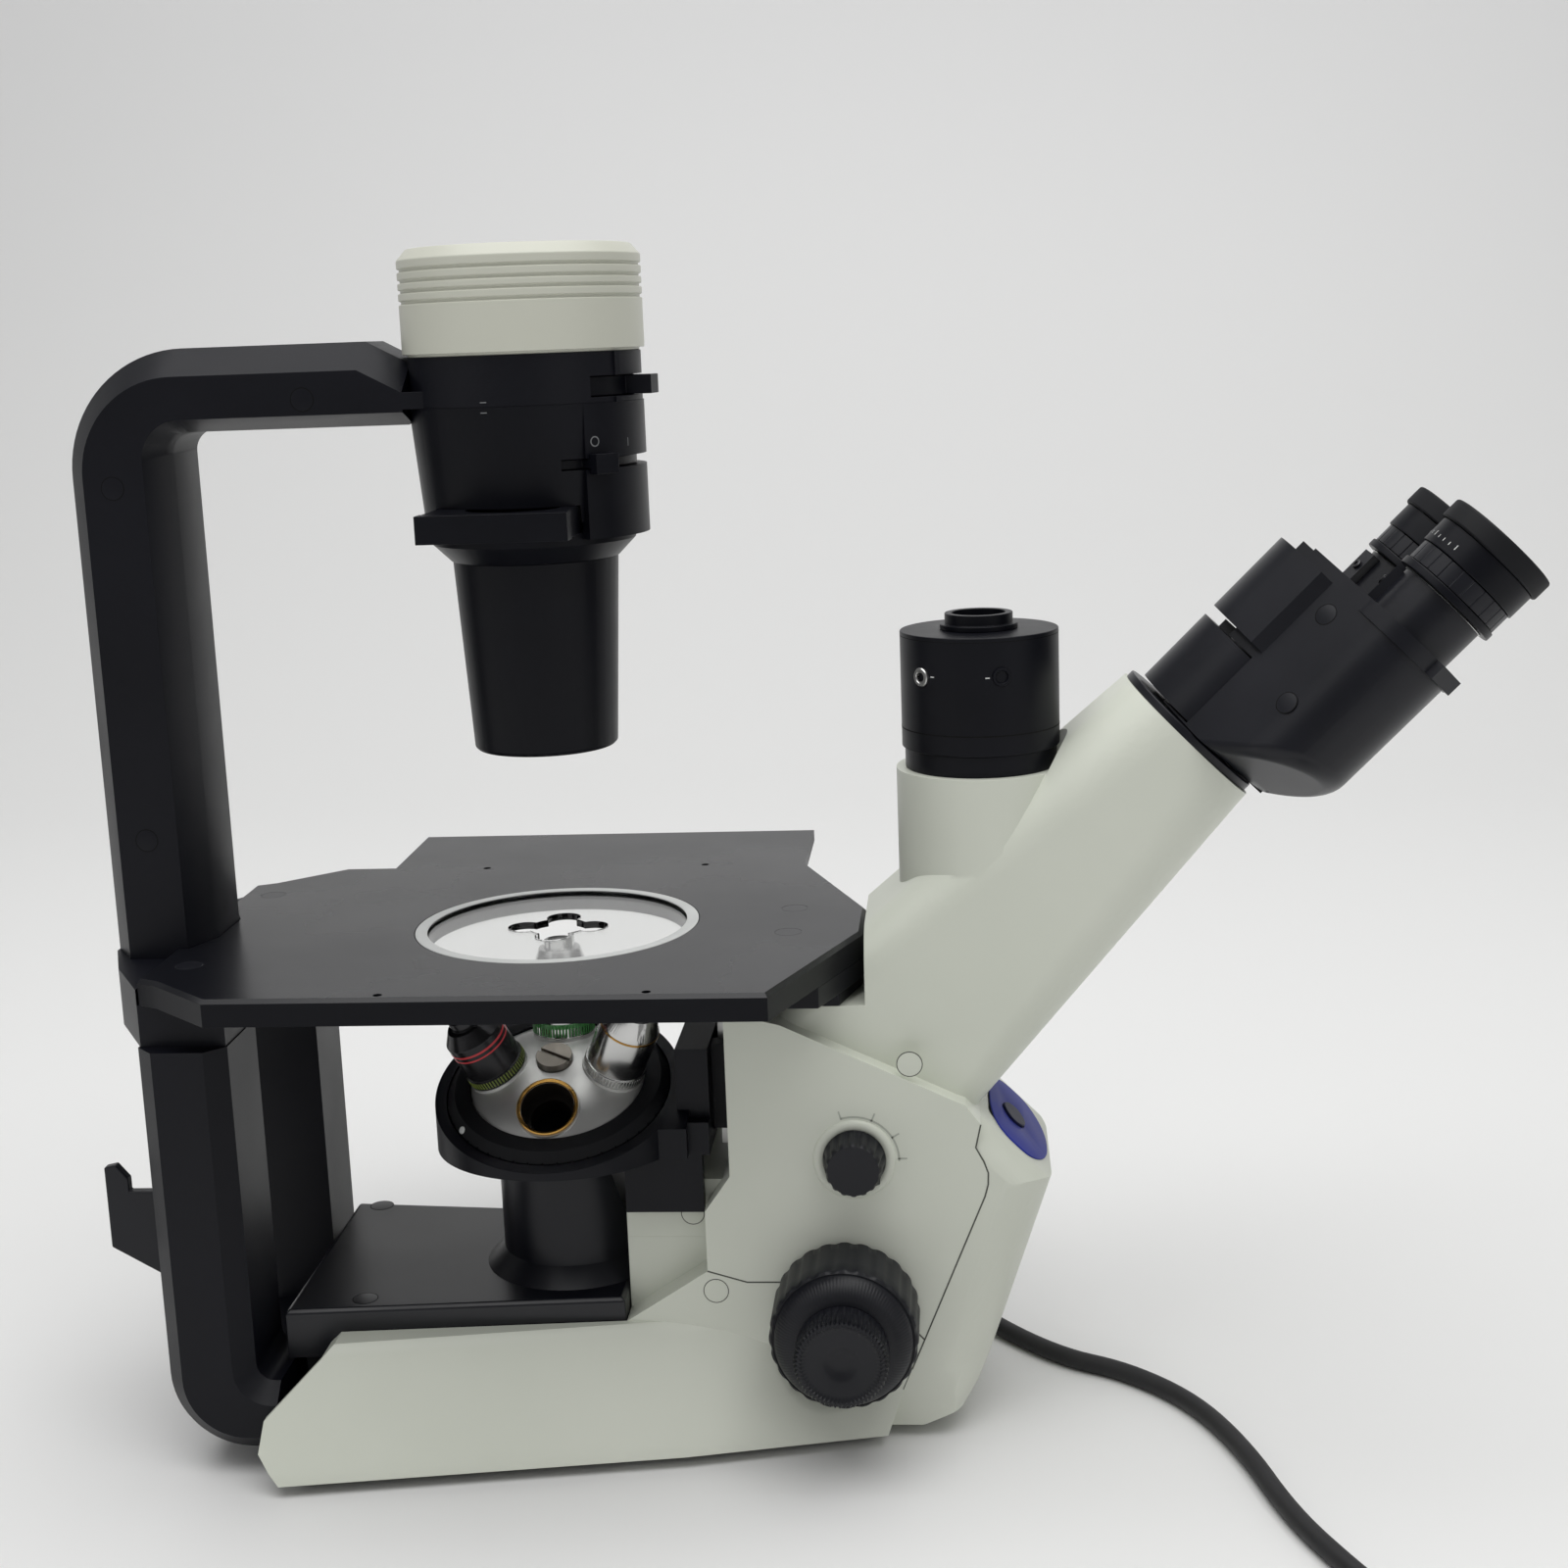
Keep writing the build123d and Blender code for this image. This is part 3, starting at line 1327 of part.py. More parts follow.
save(power_inlet, "power_inlet")

# Cord: the stretch that lies free, then a put-away coil with the plug on it
route = [
    (relief_end, gland_y, inlet_z), (124, 80, inlet_z), (149, 67, 8), (165.6, 47.1, cord_radius),
    (194, 15.5, cord_radius), (218.8, 3.9, cord_radius), (242.9, -21.5, cord_radius),
    (258.2, -59.2, cord_radius), (267.9, -103.6, cord_radius), (281.7, -136.5, cord_radius),
    (297, -166, cord_radius), (303, -195, cord_radius), (302, -222, cord_radius),
]
coil_center = (257.2, -222.0)
coil_inner = 33.5
coil_outer = 48.6
coil_height = 22.5
plug_body = (38.0, 26.0, 15.0)
plug_center = (234.0, -263.0)
plug_relief = 15.0
pin_gap = 9.5
pin_radius = 2.0
pin_length = 18.0
points = [Vector(*spot) for spot in route]
radii = []
for before, here, after in zip(points, points[1:], points[2:]):
    half_turn = math.radians((here - before).get_angle(after - here)) / 2
    radii.append(0.45 * min((here - before).length, (after - here).length) / math.tan(half_turn))
print("cord radii", [round(radius, 1) for radius in radii])
with BuildPart() as cord_tube:
    with BuildLine() as path:
        FilletPolyline(*points, radius=radii)
    with BuildSketch(Plane(origin=path.line @ 0, z_dir=path.line % 0)):
        Circle(cord_radius)
    sweep()
cord_length = path.wire().length
print("cord length", cord_length, "volume", cord_tube.part.volume, math.pi * cord_radius ** 2 * cord_length)
save(cord_tube, "cord_tube")

with BuildPart() as cord_coil:
    stack(level(0, *coil_center), [(0, coil_height, coil_outer, coil_inner)])
save(cord_coil, "cord_coil")

with BuildPart() as cord_plug:
    with BuildSketch(level(coil_height, *plug_center)):
        RectangleRounded(plug_body[0], plug_body[1], 5)
    extrude(amount=plug_body[2])
    plug_axis = front_plane(plug_center[0], plug_center[1], coil_height + plug_body[2] / 2)
    stack(plug_axis, [(plug_body[0] / 2, plug_body[0] / 2 + plug_relief, 1.6 * cord_radius, 0)])
    for way in (-1, 1):
        stack(plug_axis.shift_origin(plug_axis.origin + Vector(0, way * pin_gap, 0)), [
            (-plug_body[0] / 2 - pin_length, -plug_body[0] / 2, pin_radius, 0),
        ])
save(cord_plug, "cord_plug")
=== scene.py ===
import bpy
import json
import math
from mathutils import Matrix, Vector


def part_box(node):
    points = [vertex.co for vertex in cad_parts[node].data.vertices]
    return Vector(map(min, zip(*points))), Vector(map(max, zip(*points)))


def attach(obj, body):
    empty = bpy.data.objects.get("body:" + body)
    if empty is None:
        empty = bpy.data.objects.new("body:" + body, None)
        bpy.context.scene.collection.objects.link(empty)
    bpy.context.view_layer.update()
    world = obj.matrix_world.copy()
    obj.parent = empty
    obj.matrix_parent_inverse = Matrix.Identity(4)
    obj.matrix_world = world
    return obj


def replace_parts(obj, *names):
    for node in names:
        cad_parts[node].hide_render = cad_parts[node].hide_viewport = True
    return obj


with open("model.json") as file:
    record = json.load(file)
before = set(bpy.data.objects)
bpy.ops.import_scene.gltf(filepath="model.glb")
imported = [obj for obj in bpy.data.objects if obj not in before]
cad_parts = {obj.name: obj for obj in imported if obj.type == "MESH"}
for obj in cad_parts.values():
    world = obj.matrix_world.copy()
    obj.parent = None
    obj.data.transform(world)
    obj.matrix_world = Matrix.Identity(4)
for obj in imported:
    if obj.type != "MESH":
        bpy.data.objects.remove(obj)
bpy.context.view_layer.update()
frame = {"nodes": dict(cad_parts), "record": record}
nodes = frame["nodes"]
bodyOf = {node: body for body, group in frame["record"]["behaviour"]["bodies"].items() for node in group}
slotOf = {item["node"]: item["material_slot"] for item in frame["record"]["subparts"]}
print("frame loaded:", len(nodes), "nodes")

perMetre = 1000  # the pieces' facts are in millimetres, and Blender works in metres

# view of the photograph, in metres and radians, with the lens in millimetres
photoView = {
    "place": (0.15843, -0.8105, 0.41511), "yaw": -0.0837, "pitch": 0.2031, "roll": -0.0370,
    "lens": 49.97, "sensor": 36.0, "farthest": 50,
}


def addObject(name, data):
    obj = bpy.data.objects.new(name, data)
    bpy.context.collection.objects.link(obj)
    return obj


def makeCamera(view):
    yaw, pitch, roll = view["yaw"], view["pitch"], view["roll"]
    forward = Vector((math.sin(yaw) * math.cos(pitch), math.cos(yaw) * math.cos(pitch), -math.sin(pitch)))
    level = Vector((math.cos(yaw), -math.sin(yaw), 0))
    upward = level.cross(forward)
    right = level * math.cos(roll) + upward * math.sin(roll)
    up = upward * math.cos(roll) - level * math.sin(roll)
    turn = Matrix((right, up, -forward)).transposed()
    data = bpy.data.cameras.new("photoCamera")
    data.lens = view["lens"]
    data.sensor_width = view["sensor"]
    data.clip_end = view["farthest"]
    camera = addObject("photoCamera", data)
    camera.matrix_world = Matrix.Translation(view["place"]) @ turn.to_4x4()
    bpy.context.scene.camera = camera


makeCamera(photoView)


def clearPicks():
    if bpy.context.object and bpy.context.object.mode != "OBJECT":
        bpy.ops.object.mode_set(mode="OBJECT")
    bpy.ops.object.select_all(action="DESELECT")


def pick(obj):
    clearPicks()
    obj.select_set(True)
    bpy.context.view_layer.objects.active = obj


def applyAll(obj):
    pick(obj)
    for modifier in list(obj.modifiers):
        bpy.ops.object.modifier_apply(modifier=modifier.name)


def settle(obj):
    pick(obj)
    bpy.ops.object.transform_apply(location=True, rotation=True, scale=True)


# power cord, in metres: the route's points, then the put-away coil's rings by radius and height, on one smooth curve
cordFacts = {
    "diameter": 0.0075, "pointRadius": 0.001, "sides": 5, "order": 3, "smoothness": 6,
    "route": [
        (0.097, 0.080, 0.017), (0.124, 0.080, 0.017), (0.149, 0.067, 0.008), (0.1656, 0.0471, 0.00375),
        (0.194, 0.0155, 0.00375), (0.2188, 0.0039, 0.00375), (0.2429, -0.0215, 0.00375),
        (0.2582, -0.0592, 0.00375), (0.2679, -0.1036, 0.00375), (0.2817, -0.1365, 0.00375),
        (0.297, -0.166, 0.00375), (0.303, -0.195, 0.00375), (0.302, -0.222, 0.00375),
    ],
    "coilMiddle": (0.2572, -0.222), "coilSpread": 1.02, "pointsPerTurn": 16, "levelShare": 0.7, "climbShare": 0.3,
    "coilRings": [
        (0.0448, 0.00375), (0.0373, 0.00375), (0.0373, 0.01125), (0.0448, 0.01125),
        (0.0448, 0.01875), (0.0373, 0.01875), (0.041, 0.0262),
    ],
    "landing": [
        (0.2965, -0.2363, 0.0262), (0.2892, -0.2489, 0.0270), (0.2781, -0.2582, 0.0288), (0.268, -0.263, 0.030),
    ],
}


def makeCord(facts):
    spots = list(facts["route"])
    steps = facts["pointsPerTurn"]
    middle = facts["coilMiddle"]
    rings = facts["coilRings"]
    for (radius, height), (nextRadius, nextHeight) in zip(rings, rings[1:]):
        for step in range(1, steps + 1):
            angle = -2 * math.pi * step / steps
            climb = max(0.0, (step / steps - facts["levelShare"]) / facts["climbShare"])
            reach = (radius + (nextRadius - radius) * climb) * facts["coilSpread"]
            rise = height + (nextHeight - height) * climb
            spots.append((middle[0] + reach * math.cos(angle), middle[1] + reach * math.sin(angle), rise))
    spots += facts["landing"]
    curve = bpy.data.curves.new("powerCord", "CURVE")
    curve.dimensions = "3D"
    curve.bevel_depth = facts["diameter"] / 2 / facts["pointRadius"]
    curve.bevel_resolution = facts["sides"]
    curve.use_fill_caps = True
    line = curve.splines.new("NURBS")
    line.points.add(len(spots) - 1)
    for point, spot in zip(line.points, spots):
        point.co = (*spot, 1)
        point.radius = facts["pointRadius"]  # keeps the curve's box as small as the tube
    line.order_u = facts["order"]
    line.use_endpoint_u = True
    line.resolution_u = facts["smoothness"]
    return addObject("powerCord", curve)


powerCord = makeCord(cordFacts)
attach(powerCord, "stand")
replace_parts(powerCord, "cord_tube", "cord_coil")
print("cord laid")


# screen colour from 0 to 255, as the shaders' linear one
def tone(red, green, blue):
    shares = [part / 255 for part in (red, green, blue)]
    return tuple(s / 12.92 if s <= 0.04045 else ((s + 0.055) / 1.055) ** 2.4 for s in shares) + (1.0,)


def setInputs(node, values):
    for label, value in values.items():
        node.inputs[label].default_value = value


# shared effect: broad patches for colour and gloss, and a fine grain for bump
grainFacts = {"patch": 18.0, "grain": 900.0, "patchDetail": 4.0, "grainDetail": 2.0, "darkest": 0.3, "lightest": 0.7}


def makeGrainGroup(facts):
    group = bpy.data.node_groups.new("surfaceGrain", "ShaderNodeTree")
    for label, value in (("Patch Scale", facts["patch"]), ("Grain Scale", facts["grain"])):
        socket = group.interface.new_socket(name=label, in_out="INPUT", socket_type="NodeSocketFloat")
        socket.default_value = value
    for label in ("Patch", "Grain"):
        group.interface.new_socket(name=label, in_out="OUTPUT", socket_type="NodeSocketFloat")
    add = group.nodes.new
    link = group.links.new
    inputs = add("NodeGroupInput")
    outputs = add("NodeGroupOutput")
    coords = add("ShaderNodeTexCoord")
    patch = add("ShaderNodeTexNoise")
    grain = add("ShaderNodeTexNoise")
    spread = add("ShaderNodeMapRange")
    setInputs(patch, {"Detail": facts["patchDetail"]})
    setInputs(grain, {"Detail": facts["grainDetail"]})
    setInputs(spread, {"From Min": facts["darkest"], "From Max": facts["lightest"]})
    link(coords.outputs["Object"], patch.inputs["Vector"])
    link(coords.outputs["Object"], grain.inputs["Vector"])
    link(inputs.outputs["Patch Scale"], patch.inputs["Scale"])
    link(inputs.outputs["Grain Scale"], grain.inputs["Scale"])
    link(patch.outputs["Fac"], spread.inputs["Value"])
    link(spread.outputs["Result"], outputs.inputs["Patch"])
    link(grain.outputs["Fac"], outputs.inputs["Grain"])
    return group


grainGroup = makeGrainGroup(grainFacts)


# new material whose gloss follows the broad patches
def startFinish(name, facts):
    material = bpy.data.materials.new(name)
    material.use_nodes = True
    tree = material.node_tree
    shader = tree.nodes["Principled BSDF"]
    grain = tree.nodes.new("ShaderNodeGroup")
    grain.node_tree = grainGroup
    setInputs(grain, {
        "Patch Scale": facts.get("patch", grainFacts["patch"]), "Grain Scale": facts.get("grain", grainFacts["grain"]),
    })
    gloss = tree.nodes.new("ShaderNodeMapRange")
    setInputs(gloss, {"To Min": facts["rough"][0], "To Max": facts["rough"][1]})
    tree.links.new(grain.outputs["Patch"], gloss.inputs["Value"])
    tree.links.new(gloss.outputs["Result"], shader.inputs["Roughness"])
    return material, tree, shader, grain


# a moulded, painted or turned finish: two tones, two gloss levels and a bump
def makeFinish(name, facts):
    material, tree, shader, grain = startFinish(name, facts)
    mix = tree.nodes.new("ShaderNodeMix")
    mix.data_type = "RGBA"
    setInputs(mix, {6: tone(*facts["dark"]), 7: tone(*facts["light"])})
    bump = tree.nodes.new("ShaderNodeBump")
    setInputs(bump, {"Strength": facts.get("bump", 0.1), "Distance": facts.get("depth", 0.0002)})
    link = tree.links.new
    link(grain.outputs["Patch"], mix.inputs[0])
    link(grain.outputs["Grain"], bump.inputs["Height"])
    link(mix.outputs[2], shader.inputs["Base Color"])
    link(bump.outputs["Normal"], shader.inputs["Normal"])
    setInputs(shader, {"Metallic": facts.get("metal", 0.0), "Specular IOR Level": facts.get("specular", 0.5)})
    return material


# each finish: dark and light tone, gloss range, scales of the patches and the grain, and the bump's strength and depth
paleGrain = {"patch": 9.0, "grain": 1500.0, "bump": 0.08, "depth": 0.0001}
metalGrain = {"patch": 60.0, "grain": 1500.0, "bump": 0.05, "metal": 1.0}
steelGrain = {**metalGrain, "grain": 1800.0}
finishFacts = {
    "palePaint": {"dark": (211, 215, 202), "light": (218, 221, 209), "rough": (0.36, 0.44), **paleGrain},
    "capPaint": {"dark": (201, 202, 189), "light": (208, 209, 196), "rough": (0.36, 0.44), **paleGrain},
    "standPaint": {
        "dark": (9, 10, 17), "light": (13, 14, 22), "rough": (0.36, 0.46),
        "patch": 14.0, "grain": 2200.0, "bump": 0.2, "depth": 0.00015, "specular": 0.22,
    },
    "stagePaint": {
        "dark": (11, 12, 18), "light": (15, 16, 22), "rough": (0.25, 0.31),
        "patch": 14.0, "grain": 2200.0, "bump": 0.1, "depth": 0.0001, "specular": 0.4,
    },
    "deckPlastic": {
        "dark": (16, 17, 23), "light": (21, 22, 29), "rough": (0.30, 0.38),
        "patch": 16.0, "grain": 2000.0, "bump": 0.12, "depth": 0.0001, "specular": 0.5,
    },
    "mouldedBlack": {
        "dark": (13, 14, 21), "light": (18, 19, 27), "rough": (0.30, 0.38),
        "patch": 22.0, "grain": 1800.0, "bump": 0.14, "depth": 0.0001, "specular": 0.34,
    },
    "knobBlack": {
        "dark": (13, 14, 20), "light": (18, 19, 26), "rough": (0.38, 0.48),
        "patch": 30.0, "grain": 2000.0, "bump": 0.12, "depth": 0.0001, "specular": 0.36,
    },
    "anodisedBlack": {
        "dark": (10, 11, 17), "light": (14, 15, 22), "rough": (0.33, 0.41),
        "patch": 30.0, "grain": 2500.0, "bump": 0.06, "depth": 0.00008, "specular": 0.18,
    },
    "softRubber": {
        "dark": (10, 11, 15), "light": (15, 16, 21), "rough": (0.55, 0.7),
        "patch": 40.0, "grain": 1600.0, "bump": 0.2, "depth": 0.0001, "specular": 0.28,
    },
    "cordRubber": {
        "dark": (20, 20, 22), "light": (32, 32, 34), "rough": (0.5, 0.7),
        "patch": 60.0, "grain": 1200.0, "bump": 0.25, "depth": 0.0001,
    },
    "turnedSteel": {"dark": (170, 170, 168), "light": (200, 200, 198), "rough": (0.22, 0.35), **steelGrain},
    "darkSteel": {"dark": (60, 60, 62), "light": (84, 84, 86), "rough": (0.3, 0.42), **steelGrain},
    "satinPlate": {
        "dark": (200, 200, 198), "light": (214, 214, 212), "rough": (0.36, 0.46),
        "patch": 40.0, "grain": 1500.0, "bump": 0.04, "metal": 0.8,
    },
    "polishedPlate": {
        "dark": (188, 188, 187), "light": (206, 206, 205), "rough": (0.14, 0.22),
        "patch": 40.0, "grain": 1500.0, "bump": 0.03, "metal": 1.0,
    },
    "screwNickel": {"dark": (122, 117, 110), "light": (146, 140, 132), "rough": (0.26, 0.36), **metalGrain},
    "boreBlack": {
        "dark": (20, 17, 13), "light": (34, 28, 20), "rough": (0.4, 0.55),
        "patch": 60.0, "grain": 1500.0, "bump": 0.1,
    },
    "buttonBlue": {
        "dark": (17, 20, 50), "light": (23, 27, 62), "rough": (0.38, 0.46),
        "patch": 60.0, "grain": 1500.0, "bump": 0.05, "specular": 0.15,
    },
    # darker copy of the stage paint for the stage's side faces: painted shade
    "edgeShadePaint": {
        "dark": (9, 10, 16), "light": (13, 14, 20), "rough": (0.34, 0.42),
        "patch": 14.0, "grain": 2200.0, "bump": 0.1, "depth": 0.0001, "specular": 0.16,
    },
    "objectiveBlack": {
        "dark": (34, 34, 36), "light": (52, 52, 54), "rough": (0.2, 0.28),
        "patch": 60.0, "grain": 1800.0, "bump": 0.04, "metal": 0.7,
    },
    "turnedBrass": {"dark": (176, 132, 66), "light": (205, 164, 92), "rough": (0.2, 0.32), **metalGrain},
    "bandRed": {"dark": (188, 40, 48), "light": (206, 54, 60), "rough": (0.35, 0.45)},
    "bandGreen": {"dark": (52, 118, 58), "light": (70, 140, 72), "rough": (0.3, 0.4)},
    "bandOlive": {"dark": (96, 112, 44), "light": (124, 138, 60), "rough": (0.32, 0.42)},
    "bluePlastic": {
        "dark": (42, 50, 142), "light": (50, 60, 158), "rough": (0.42, 0.5),
        "patch": 40.0, "grain": 1500.0, "bump": 0.06, "specular": 0.14,
    },
    "seamShadow": {"dark": (78, 80, 73), "light": (92, 94, 86), "rough": (0.7, 0.8)},
    # near-black for seam lines and grooves, and for painted shade in screw sockets
    "seamAndShadeBlack": {"dark": (5, 5, 6), "light": (8, 8, 9), "rough": (0.7, 0.8), "specular": 0.2},
    "tickInk": {"dark": (205, 207, 205), "light": (220, 222, 220), "rough": (0.5, 0.6)},
    "faintInk": {"dark": (112, 114, 116), "light": (128, 130, 132), "rough": (0.5, 0.6)},
    # grey for the brightness scale's embossed lines: painted shade in place of their relief
    "scaleEmbossShade": {"dark": (172, 176, 165), "light": (182, 186, 175), "rough": (0.5, 0.6)},
    "lampWhite": {"dark": (228, 226, 214), "light": (238, 236, 226), "rough": (0.4, 0.5)},
    "rimFrost": {
        "dark": (196, 198, 196), "light": (214, 216, 214), "rough": (0.3, 0.42),
        "patch": 40.0, "grain": 1500.0, "bump": 0.05,
    },
    "frontSilver": {"dark": (215, 215, 215), "light": (230, 230, 230), "rough": (0.03, 0.06), "metal": 1.0},
}
finishes = {name: makeFinish(name, facts) for name, facts in finishFacts.items()}

# clear glass and clear moulded plastic
clearFacts = {
    "clearGlass": {"tint": (238, 245, 244), "rough": (0.0, 0.03), "patch": 25.0, "index": 1.45},
    "clearPlastic": {"tint": (246, 247, 246), "rough": (0.02, 0.05), "patch": 25.0, "index": 1.45},
}


def makeClear(name, facts):
    material, _, shader, _ = startFinish(name, facts)
    setInputs(shader, {"Base Color": tone(*facts["tint"]), "Transmission Weight": 1.0, "IOR": facts["index"]})
    return material


finishes.update({name: makeClear(name, facts) for name, facts in clearFacts.items()})
print("finishes:", len(finishes))
powerCord.data.materials.append(finishes["cordRubber"])

# finish of each slot, and of the nodes that look different from their slot
slotFinish = {
    "white_paint": "palePaint", "black_paint": "standPaint", "black_plastic": "mouldedBlack",
    "black_rubber": "softRubber", "steel": "turnedSteel", "satin_silver": "satinPlate", "brass": "turnedBrass",
    "lens_glass": "clearGlass", "clear_plastic": "clearPlastic", "mirror": "frontSilver",
    "blue_plastic": "bluePlastic", "lamp": "lampWhite",
}
nodeFinish = {
    "lamp_cap": "capPaint", "stage_plate": "stagePaint", "extension_plate": "stagePaint", "stage_plugs": "deckPlastic",
    "deck": "deckPlastic", "objective_low": "objectiveBlack", "objective_mid": "polishedPlate",
    "objective_high": "polishedPlate", "turret_grip": "softRubber", "hinge_spindle": "mouldedBlack",
    "condenser_body": "anodisedBlack", "condenser_cone": "anodisedBlack", "phase_slider": "anodisedBlack",
    "field_lever": "anodisedBlack", "aperture_lever": "anodisedBlack", "camera_adapter": "anodisedBlack",
    "c_mount_ring": "anodisedBlack", "camera_port_ring": "anodisedBlack", "eyepiece_near": "anodisedBlack",
    "eyepiece_far": "anodisedBlack", "cord_plug": "cordRubber", "power_inlet": "cordRubber",
    "pivot_screw": "screwNickel", "power_button": "buttonBlue",
}
for node, obj in nodes.items():
    obj.data.materials.clear()
    obj.data.materials.append(finishes[nodeFinish.get(node, slotFinish[slotOf[node]])])

# edge rounding in millimetres for the nodes whose edges catch light
edgeRounding = {
    "base_shell": 0.7, "main_body": 0.7, "front_cover": 0.7, "lower_frame": 1.4, "upper_arm": 1.4, "stage_plate": 0.4,
    "extension_plate": 0.5, "stage_bracket": 0.5, "deck": 0.6, "light_column": 0.8, "cord_hook": 0.6, "lamp_cap": 0.4,
    "condenser_body": 0.4, "condenser_cone": 0.4, "field_lever": 0.3, "aperture_lever": 0.3, "phase_slider": 0.6,
    "carriage": 0.8, "turret_dome": 0.4, "turret_grip": 0.3, "pivot_screw": 0.3, "power_button": 0.4,
    "objective_low": 0.3, "objective_mid": 0.3, "objective_high": 0.3,
    "hinge_spindle": 0.4, "ocular_near": 1.4, "ocular_far": 1.4, "eyepiece_near": 0.4, "eyepiece_far": 0.4,
    "diopter_ring_near": 0.3, "diopter_ring_far": 0.3, "eyecup_near": 0.9, "eyecup_far": 0.9,
    "camera_port_ring": 0.4, "camera_adapter": 0.5, "c_mount_ring": 0.3, "stage_plugs": 0.2, "stage_screws": 0.2,
    "cord_plug": 1.2, "power_inlet": 1.0, "stage_insert": 0.3, "rubber_feet": 0.6,
}
# how copies of nodes are merged and rounded, in millimetres and degrees
dressFacts = {"mergeGap": 0.02, "flatAngle": 0.5, "edgeAngle": 32.0, "segments": 3}
smoothAngle = math.radians(35)


# merged copy of a node, with its flat faces whole
def copyNode(node):
    obj = addObject(node + "Dressed", nodes[node].data.copy())
    pick(obj)
    bpy.ops.object.mode_set(mode="EDIT")
    bpy.ops.mesh.select_all(action="SELECT")
    bpy.ops.mesh.remove_doubles(threshold=dressFacts["mergeGap"] / perMetre)
    bpy.ops.mesh.dissolve_limited(angle_limit=math.radians(dressFacts["flatAngle"]))
    bpy.ops.object.mode_set(mode="OBJECT")
    return obj


# rounds the edges that a test picks out
def roundEdges(obj, size, segments, wanted):
    bpy.context.tool_settings.mesh_select_mode = (False, True, False)
    pick(obj)
    bpy.ops.object.mode_set(mode="EDIT")
    bpy.ops.mesh.select_all(action="DESELECT")
    bpy.ops.object.mode_set(mode="OBJECT")
    for edge in obj.data.edges:
        edge.select = wanted(edge)
    bpy.ops.object.mode_set(mode="EDIT")
    bpy.ops.mesh.bevel(offset=size / perMetre, segments=segments, profile=0.5, clamp_overlap=False)
    bpy.ops.object.mode_set(mode="OBJECT")


# faces that a larger, softer turn runs round: the way they face, how nearly, and the turn's size
softTurns = {
    "ocular_near": {"way": (-0.335, -0.434, -0.836), "match": 0.999, "size": 5.0, "segments": 6},
    "ocular_far": {"way": (-0.335, 0.434, -0.836), "match": 0.999, "size": 5.0, "segments": 6},
}


def softenFace(obj, facts):
    way = Vector(facts["way"]).normalized()
    inside, outside = set(), set()
    for face in obj.data.polygons:
        (inside if face.normal.dot(way) > facts["match"] else outside).update(face.edge_keys)
    roundEdges(obj, facts["size"], facts["segments"], lambda edge: edge.key in inside and edge.key in outside)


# slanted face of the front cover: its middle and its turn about Y in degrees
slantFacts = {"middle": (175.2, 0.0, 113.3), "turn": 45.0}
slantFrame = Matrix.Translation(Vector(slantFacts["middle"]) / perMetre) @ Matrix.Rotation(
    math.radians(slantFacts["turn"]), 4, "Y")

# long block with rounded shoulders that trims the front cover beside its slanted face
noseFacts = {"half": 43.2, "length": 130.0, "deep": 260.0, "above": 0.02, "shoulder": 12.0, "segments": 12}


def trimNose(obj, facts):
    clearPicks()
    bpy.ops.mesh.primitive_cube_add(size=1)
    block = bpy.context.object
    block.scale = (facts["length"] / perMetre, 2 * facts["half"] / perMetre, facts["deep"] / perMetre)
    settle(block)

    def alongTop(edge):
        a, b = (block.data.vertices[k].co for k in edge.vertices)
        return a.z > 0 and b.z > 0 and a.x * b.x < 0

    roundEdges(block, facts["shoulder"], facts["segments"], alongTop)
    sink = Matrix.Translation((0, 0, facts["above"] / perMetre - facts["deep"] / 2 / perMetre))
    block.matrix_world = slantFrame @ sink
    settle(block)
    trim = obj.modifiers.new("nose", "BOOLEAN")
    trim.operation = "INTERSECT"
    trim.object = block
    trim.solver = "EXACT"
    applyAll(obj)
    bpy.data.objects.remove(block)


# merged copy of a node with its edges rounded
def dressNode(node, rounding):
    obj = copyNode(node)
    if node in softTurns:
        softenFace(obj, softTurns[node])
    if node == "front_cover":
        trimNose(obj, noseFacts)
    bevel = obj.modifiers.new("rounding", "BEVEL")
    bevel.width = rounding / perMetre
    bevel.segments = dressFacts["segments"]
    bevel.limit_method = "ANGLE"
    bevel.angle_limit = math.radians(dressFacts["edgeAngle"])
    applyAll(obj)
    bpy.ops.object.shade_smooth_by_angle(angle=smoothAngle)
    even = obj.modifiers.new("evenNormals", "WEIGHTED_NORMAL")
    even.keep_sharp = True
    applyAll(obj)
    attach(obj, bodyOf[node])
    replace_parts(obj, node)
    return obj


dressed = {node: dressNode(node, rounding) for node, rounding in edgeRounding.items()}
print("nodes dressed:", len(dressed))


# second finish on the faces that a test picks out
def paintFaces(obj, finish, wanted):
    obj.data.materials.append(finishes[finish])
    for face in obj.data.polygons:
        if wanted(face):
            face.material_index = 1


# the stage's milled rims are duller than its top, and their darker tone is painted shade on the side faces
for node in ("stage_plate", "extension_plate"):
    paintFaces(dressed[node], "edgeShadePaint", lambda face: abs(face.normal.z) < 0.5)

turnedGap = 0.002  # points of a turned piece that are nearer than this are one


